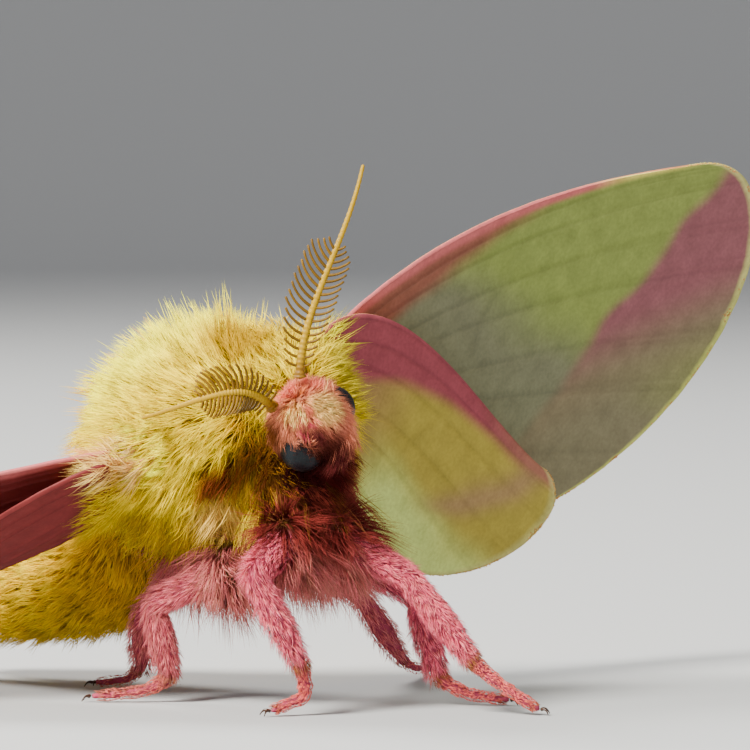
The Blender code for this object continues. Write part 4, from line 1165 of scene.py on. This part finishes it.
def wing_piece(name, word, plan):
    """Thin two-faced wing with its veins and scale colours."""
    rows, cols = plan["grid"]
    q, r = np.meshgrid(np.linspace(0.0, 1.0, rows), np.linspace(WING_START[word], 1.0, cols),
                       indexing="ij")
    vein = vein_height(plan, q, r)
    places = plan_points(plan, q, r)
    quilt = QUILT_HEIGHT * ripple(places[..., 0], places[..., 1], *QUILT_WAVES)
    rim = smooth(0.0, 0.02, q) * smooth(1.0, 0.98, q) * smooth(1.0, 0.985, r)
    verts, colours = [], []
    for way in (1.0, -1.0):
        half = WING_HALF_THICKNESS * (0.35 + 0.65 * rim) + VEIN_HEIGHT * vein * rim
        verts.append(wing_places(word, plan, q, r, half * way + quilt).reshape(-1, 3))
        tint = wing_colour(word, plan, q, r, way < 0 or word == "right" and plan is HIND)
        colours.append((tint * (1.0 - 0.2 * vein[..., None])).reshape(-1, 3))
    grid = np.arange(rows * cols).reshape(rows, cols)
    lower = rows * cols
    top = np.stack((grid[:-1, :-1], grid[:-1, 1:], grid[1:, 1:], grid[1:, :-1]), axis=-1)
    top = top.reshape(-1, 4)
    loop = np.concatenate((grid[0, :], grid[1:, -1], grid[-1, -2::-1], grid[-2:0:-1, 0]))
    following = np.roll(loop, -1)
    edge = np.stack((loop, loop + lower, following + lower, following), axis=-1)
    faces = np.vstack((top, top[:, ::-1] + lower, edge))
    if word == "right":
        faces = faces[:, ::-1]
    mesh_piece(name, np.vstack(verts), [faces], WING_SCALES, np.vstack(colours),
               replaced=(name,))


def wing_hairs(name, word, plan, style, q, r, spread):
    """Hairs on both faces of a wing, laid outward along it."""
    way = np.where(RANDOM.random(len(q)) < 0.5, 1.0, -1.0)
    height = way * WING_HALF_THICKNESS * 0.6
    roots = wing_places(word, plan, q, r, height)
    ahead = wing_places(word, plan, q, r + 0.01, height)
    over = unit(wing_places(word, plan, q, r, np.ones(len(q)))
                - wing_places(word, plan, q, r, np.zeros(len(q))))
    lies = unit(ahead - roots) + RANDOM.normal(0.0, spread, roots.shape)
    below, above = (wing_colour(word, plan, q, np.minimum(r + 0.02, 1.0), face)
                    for face in (True, False))
    tones = np.where(way[:, None] < 0, below, above)
    if style == "wing_root":
        front = CREAM if word == "right" else LEMON
        body = mixed(mixed(front, YELLOW, smooth(0.05, 0.35, q)), OLIVE, smooth(0.5, 1.0, q) * 0.5)
        tones = mixed(body, tones, smooth(0.03, 0.05, r) * 0.6)
    uv = np.stack((q, np.clip(r, 0.0, 1.0)), axis=1) * 0.98 + 0.01
    grow(style + "_" + name, style, roots, over * way[:, None], uv, lies, tones)


def wing_coat(name, word, plan):
    """Scale fringe along the margin, and body hair over the wing's root."""
    count = HAIR_COUNTS["fringe"]
    q = np.linspace(0.02, 0.995, count) + RANDOM.uniform(-0.001, 0.001, count)
    wing_hairs(name, word, plan, "fringe", q, RANDOM.uniform(0.975, 0.995, count), 0.05)
    count = HAIR_COUNTS["wing_root"]
    wing_hairs(name, word, plan, "wing_root", RANDOM.uniform(0.0, 0.98, count),
               RANDOM.uniform(-0.06, 0.045, count), 0.25)


# Antennae, eyes and claws

def antenna_curve(side):
    ends = [HEAD_PLACE + np.array(place) for place in ANTENNA_ENDS["left" if side > 0 else "right"]]
    return lambda t: bezier(ends, t)


def ramus(spot, along, out, reach, sweep):
    """One side branch that bends towards the antenna's tip."""
    s = np.linspace(0.0, 1.0, 9)[:, None]
    line = spot + out * (reach * (s - 0.12 * s ** 3)) + along * (reach * (sweep * s + 0.38 * s * s))
    size = RAMUS_RADIUS * (1.0 - 0.4 * s[:, 0]) + 0.006 * np.exp(-((s[:, 0] - 1.0) / 0.12) ** 2)
    return rod(line, size, 6)


def antenna_shaft(curve):
    """Ringed shaft, widest at its socket, and its tones."""
    share = np.linspace(-0.015, 1.0, SHAFT_STEPS)
    radii = SHAFT_RADII[0] * (1.0 - share) + SHAFT_RADII[1] * share
    radii *= 1.0 + 0.08 * np.sin(share * 2.0 * math.pi * SHAFT_RINGS)
    radii[:8] *= np.linspace(SOCKET_SWELL, 1.0, 8)
    tones = mixed(ANTENNA_SHAFT, ANTENNA_BASE, smooth(0.12, 0.0, np.repeat(share, SHAFT_SIDES)))
    return rod(curve(share), radii, SHAFT_SIDES), np.vstack((tones, ANTENNA_BASE, ANTENNA_SHAFT))


def antenna_piece(side, word):
    """Shaft with two combs of side branches and a thin tip."""
    curve = antenna_curve(side)
    shaft, shaft_tones = antenna_shaft(curve)
    parts, tones = [shaft], [shaft_tones]
    face, lean = math.radians(FACE_AZIMUTH), math.radians(RAMI_LEAN)
    toward = np.array((-math.sin(face), -math.cos(face), 0.0))
    for k in range(RAMI_PAIRS):
        u = (k + 0.5) / RAMI_PAIRS
        t = RAMI_SHARE * (0.02 + 0.98 * u ** 0.88)
        spot, before, after = curve(np.array((t, t - 0.01, t + 0.01)))
        along = unit(after - before)
        across = unit(np.cross(along, toward))
        over = np.cross(across, along)
        if over @ toward < 0:
            over = -over
        swell = (0.5 + 0.5 * min(u / 0.35, 1.0)) * float(1.0 - smooth(0.72, 1.08, u) * 0.8)
        for way, length in zip((1.0, -1.0), RAMUS_LENGTHS[word]):
            out = across * (way * math.cos(lean)) + over * math.sin(lean)
            reach = length * swell * RANDOM.uniform(0.96, 1.04)
            parts.append(ramus(spot, along, out, reach, RAMUS_SWEEP[word] * u - 0.08))
            tone = np.array(RAMUS_TONE) * RANDOM.uniform(0.75, 1.3)
            tones.append(np.tile(tone, (len(parts[-1][0]), 1)))
    verts, quads, triangles = joined(parts)
    name = "antenna_" + word
    mesh_piece(name, verts, [quads, triangles], HORN, np.vstack(tones), replaced=(name,))


def eye_piece(side, word):
    name = "eye_" + word
    verts, quads, triangles = ball_rings(eye_place(side), HEAD, (EYE_RADIUS,) * 3, *EYE_GRID)
    mesh_piece(name, verts, [quads, triangles], EYE, replaced=(name,))


def claw_piece(name):
    """Two hooked claws at one toe."""
    toe = FORMS[name]["points"][-1]
    ahead = toe - FORMS[name]["points"][-6]
    ahead[2] = 0.0
    ahead = unit(ahead)
    aside = np.array((-ahead[1], ahead[0], 0.0))
    s = np.linspace(0.0, 1.0, 10)[:, None]
    parts = []
    for way in (1.0, -1.0):
        line = (toe + aside * (way * (0.05 + 0.14 * s)) + ahead * (0.08 + 0.26 * s - 0.06 * s * s)
                - DOWN * (0.14 * s - 0.26 * s * s))
        parts.append(rod(line, CLAW_RADIUS * (1.0 - 0.75 * s[:, 0]), 8))
    verts, quads, triangles = joined(parts)
    verts[:, 2] = np.maximum(verts[:, 2], LOWEST_CLAW)
    mesh_piece("claws_" + name[4:], verts, [quads, triangles], CLAW)


def build_moth():
    build_skin()
    thorax_coat()
    breast_coat()
    head_coat()
    abdomen_coat()
    hip_coat()
    stray_tufts()
    for name in LEGS:
        leg_coat(name)
        claw_piece(name)
    for side, word in ((1, "left"), (-1, "right")):
        eye_piece(side, word)
        antenna_piece(side, word)
        for kind, plan in (("forewing_", FORE), ("hindwing_", HIND)):
            wing_piece(kind + word, word, plan)
            wing_coat(kind + word, word, plan)


# Stage, light and camera

def build_stage():
    """Pale seamless floor that curves up behind."""
    profile = [(FLOOR_START, 0.0), (FLOOR_DEPTH, 0.0)]
    profile += [(FLOOR_DEPTH + FLOOR_BEND * math.sin(a), FLOOR_BEND * (1.0 - math.cos(a)))
                for a in np.linspace(0.05, math.pi / 2, 24)]
    profile.append((FLOOR_DEPTH + FLOOR_BEND, FLOOR_HEIGHT))
    azimuth = math.radians(VIEW_AZIMUTH)
    away = np.array((-math.sin(azimuth), math.cos(azimuth), 0.0))
    aside = np.array((math.cos(azimuth), math.sin(azimuth), 0.0))
    verts = [away * y + aside * x - DOWN * (z - FLOOR_DROP)
             for y, z in profile for x in (-FLOOR_WIDTH, FLOOR_WIDTH)]
    faces = [(2 * i, 2 * i + 1, 2 * i + 3, 2 * i + 2) for i in range(len(profile) - 1)]
    mesh = bpy.data.meshes.new("floor")
    mesh.from_pydata([tuple(v) for v in verts], [], faces)
    mesh.polygons.foreach_set("use_smooth", np.ones(len(faces), bool))
    material, _, _ = shader_of("pale_floor", {"Base Color": FLOOR_TONE, "Roughness": 0.7})
    mesh.materials.append(material)
    placed("floor", mesh)


def area_light(name, place, size, power, colour):
    """A soft round lamp that faces the model's middle."""
    lamp = bpy.data.lights.new(name, "AREA")
    lamp.shape = "DISK"
    lamp.size = size
    lamp.energy = power
    lamp.color = colour
    aimed(placed(name, lamp), place, Vector(LIT_PLACE) - Vector(place))


def build_camera():
    """Camera at the photo's angle and framing."""
    azimuth, pitch = math.radians(-VIEW_AZIMUTH), math.radians(VIEW_PITCH)
    look = np.array((math.sin(azimuth) * math.cos(pitch), math.cos(azimuth) * math.cos(pitch),
                     -math.sin(pitch)))
    place = -look * VIEW_DISTANCE
    place[2] = VIEW_HEIGHT
    camera = bpy.data.cameras.new("camera")
    camera.sensor_width = SENSOR
    camera.lens = FOCAL_PIXELS / PHOTO_PIXELS * SENSOR
    camera.clip_start, camera.clip_end = CLIP_RANGE
    holder = placed("camera", camera)
    aimed(holder, place * MM + SHIFT, Vector(look))
    bpy.context.scene.camera = holder


def build_lights():
    world = bpy.data.worlds.new("studio")
    bpy.context.scene.world = world
    world.use_nodes = True
    back = world.node_tree.nodes["Background"]
    back.inputs["Color"].default_value = WORLD_TONE
    back.inputs["Strength"].default_value = WORLD_STRENGTH
    for name, (place, size, power, colour) in LAMPS.items():
        area_light(name, place, size, power, colour)


build_camera()
build_stage()
build_lights()
build_moth()
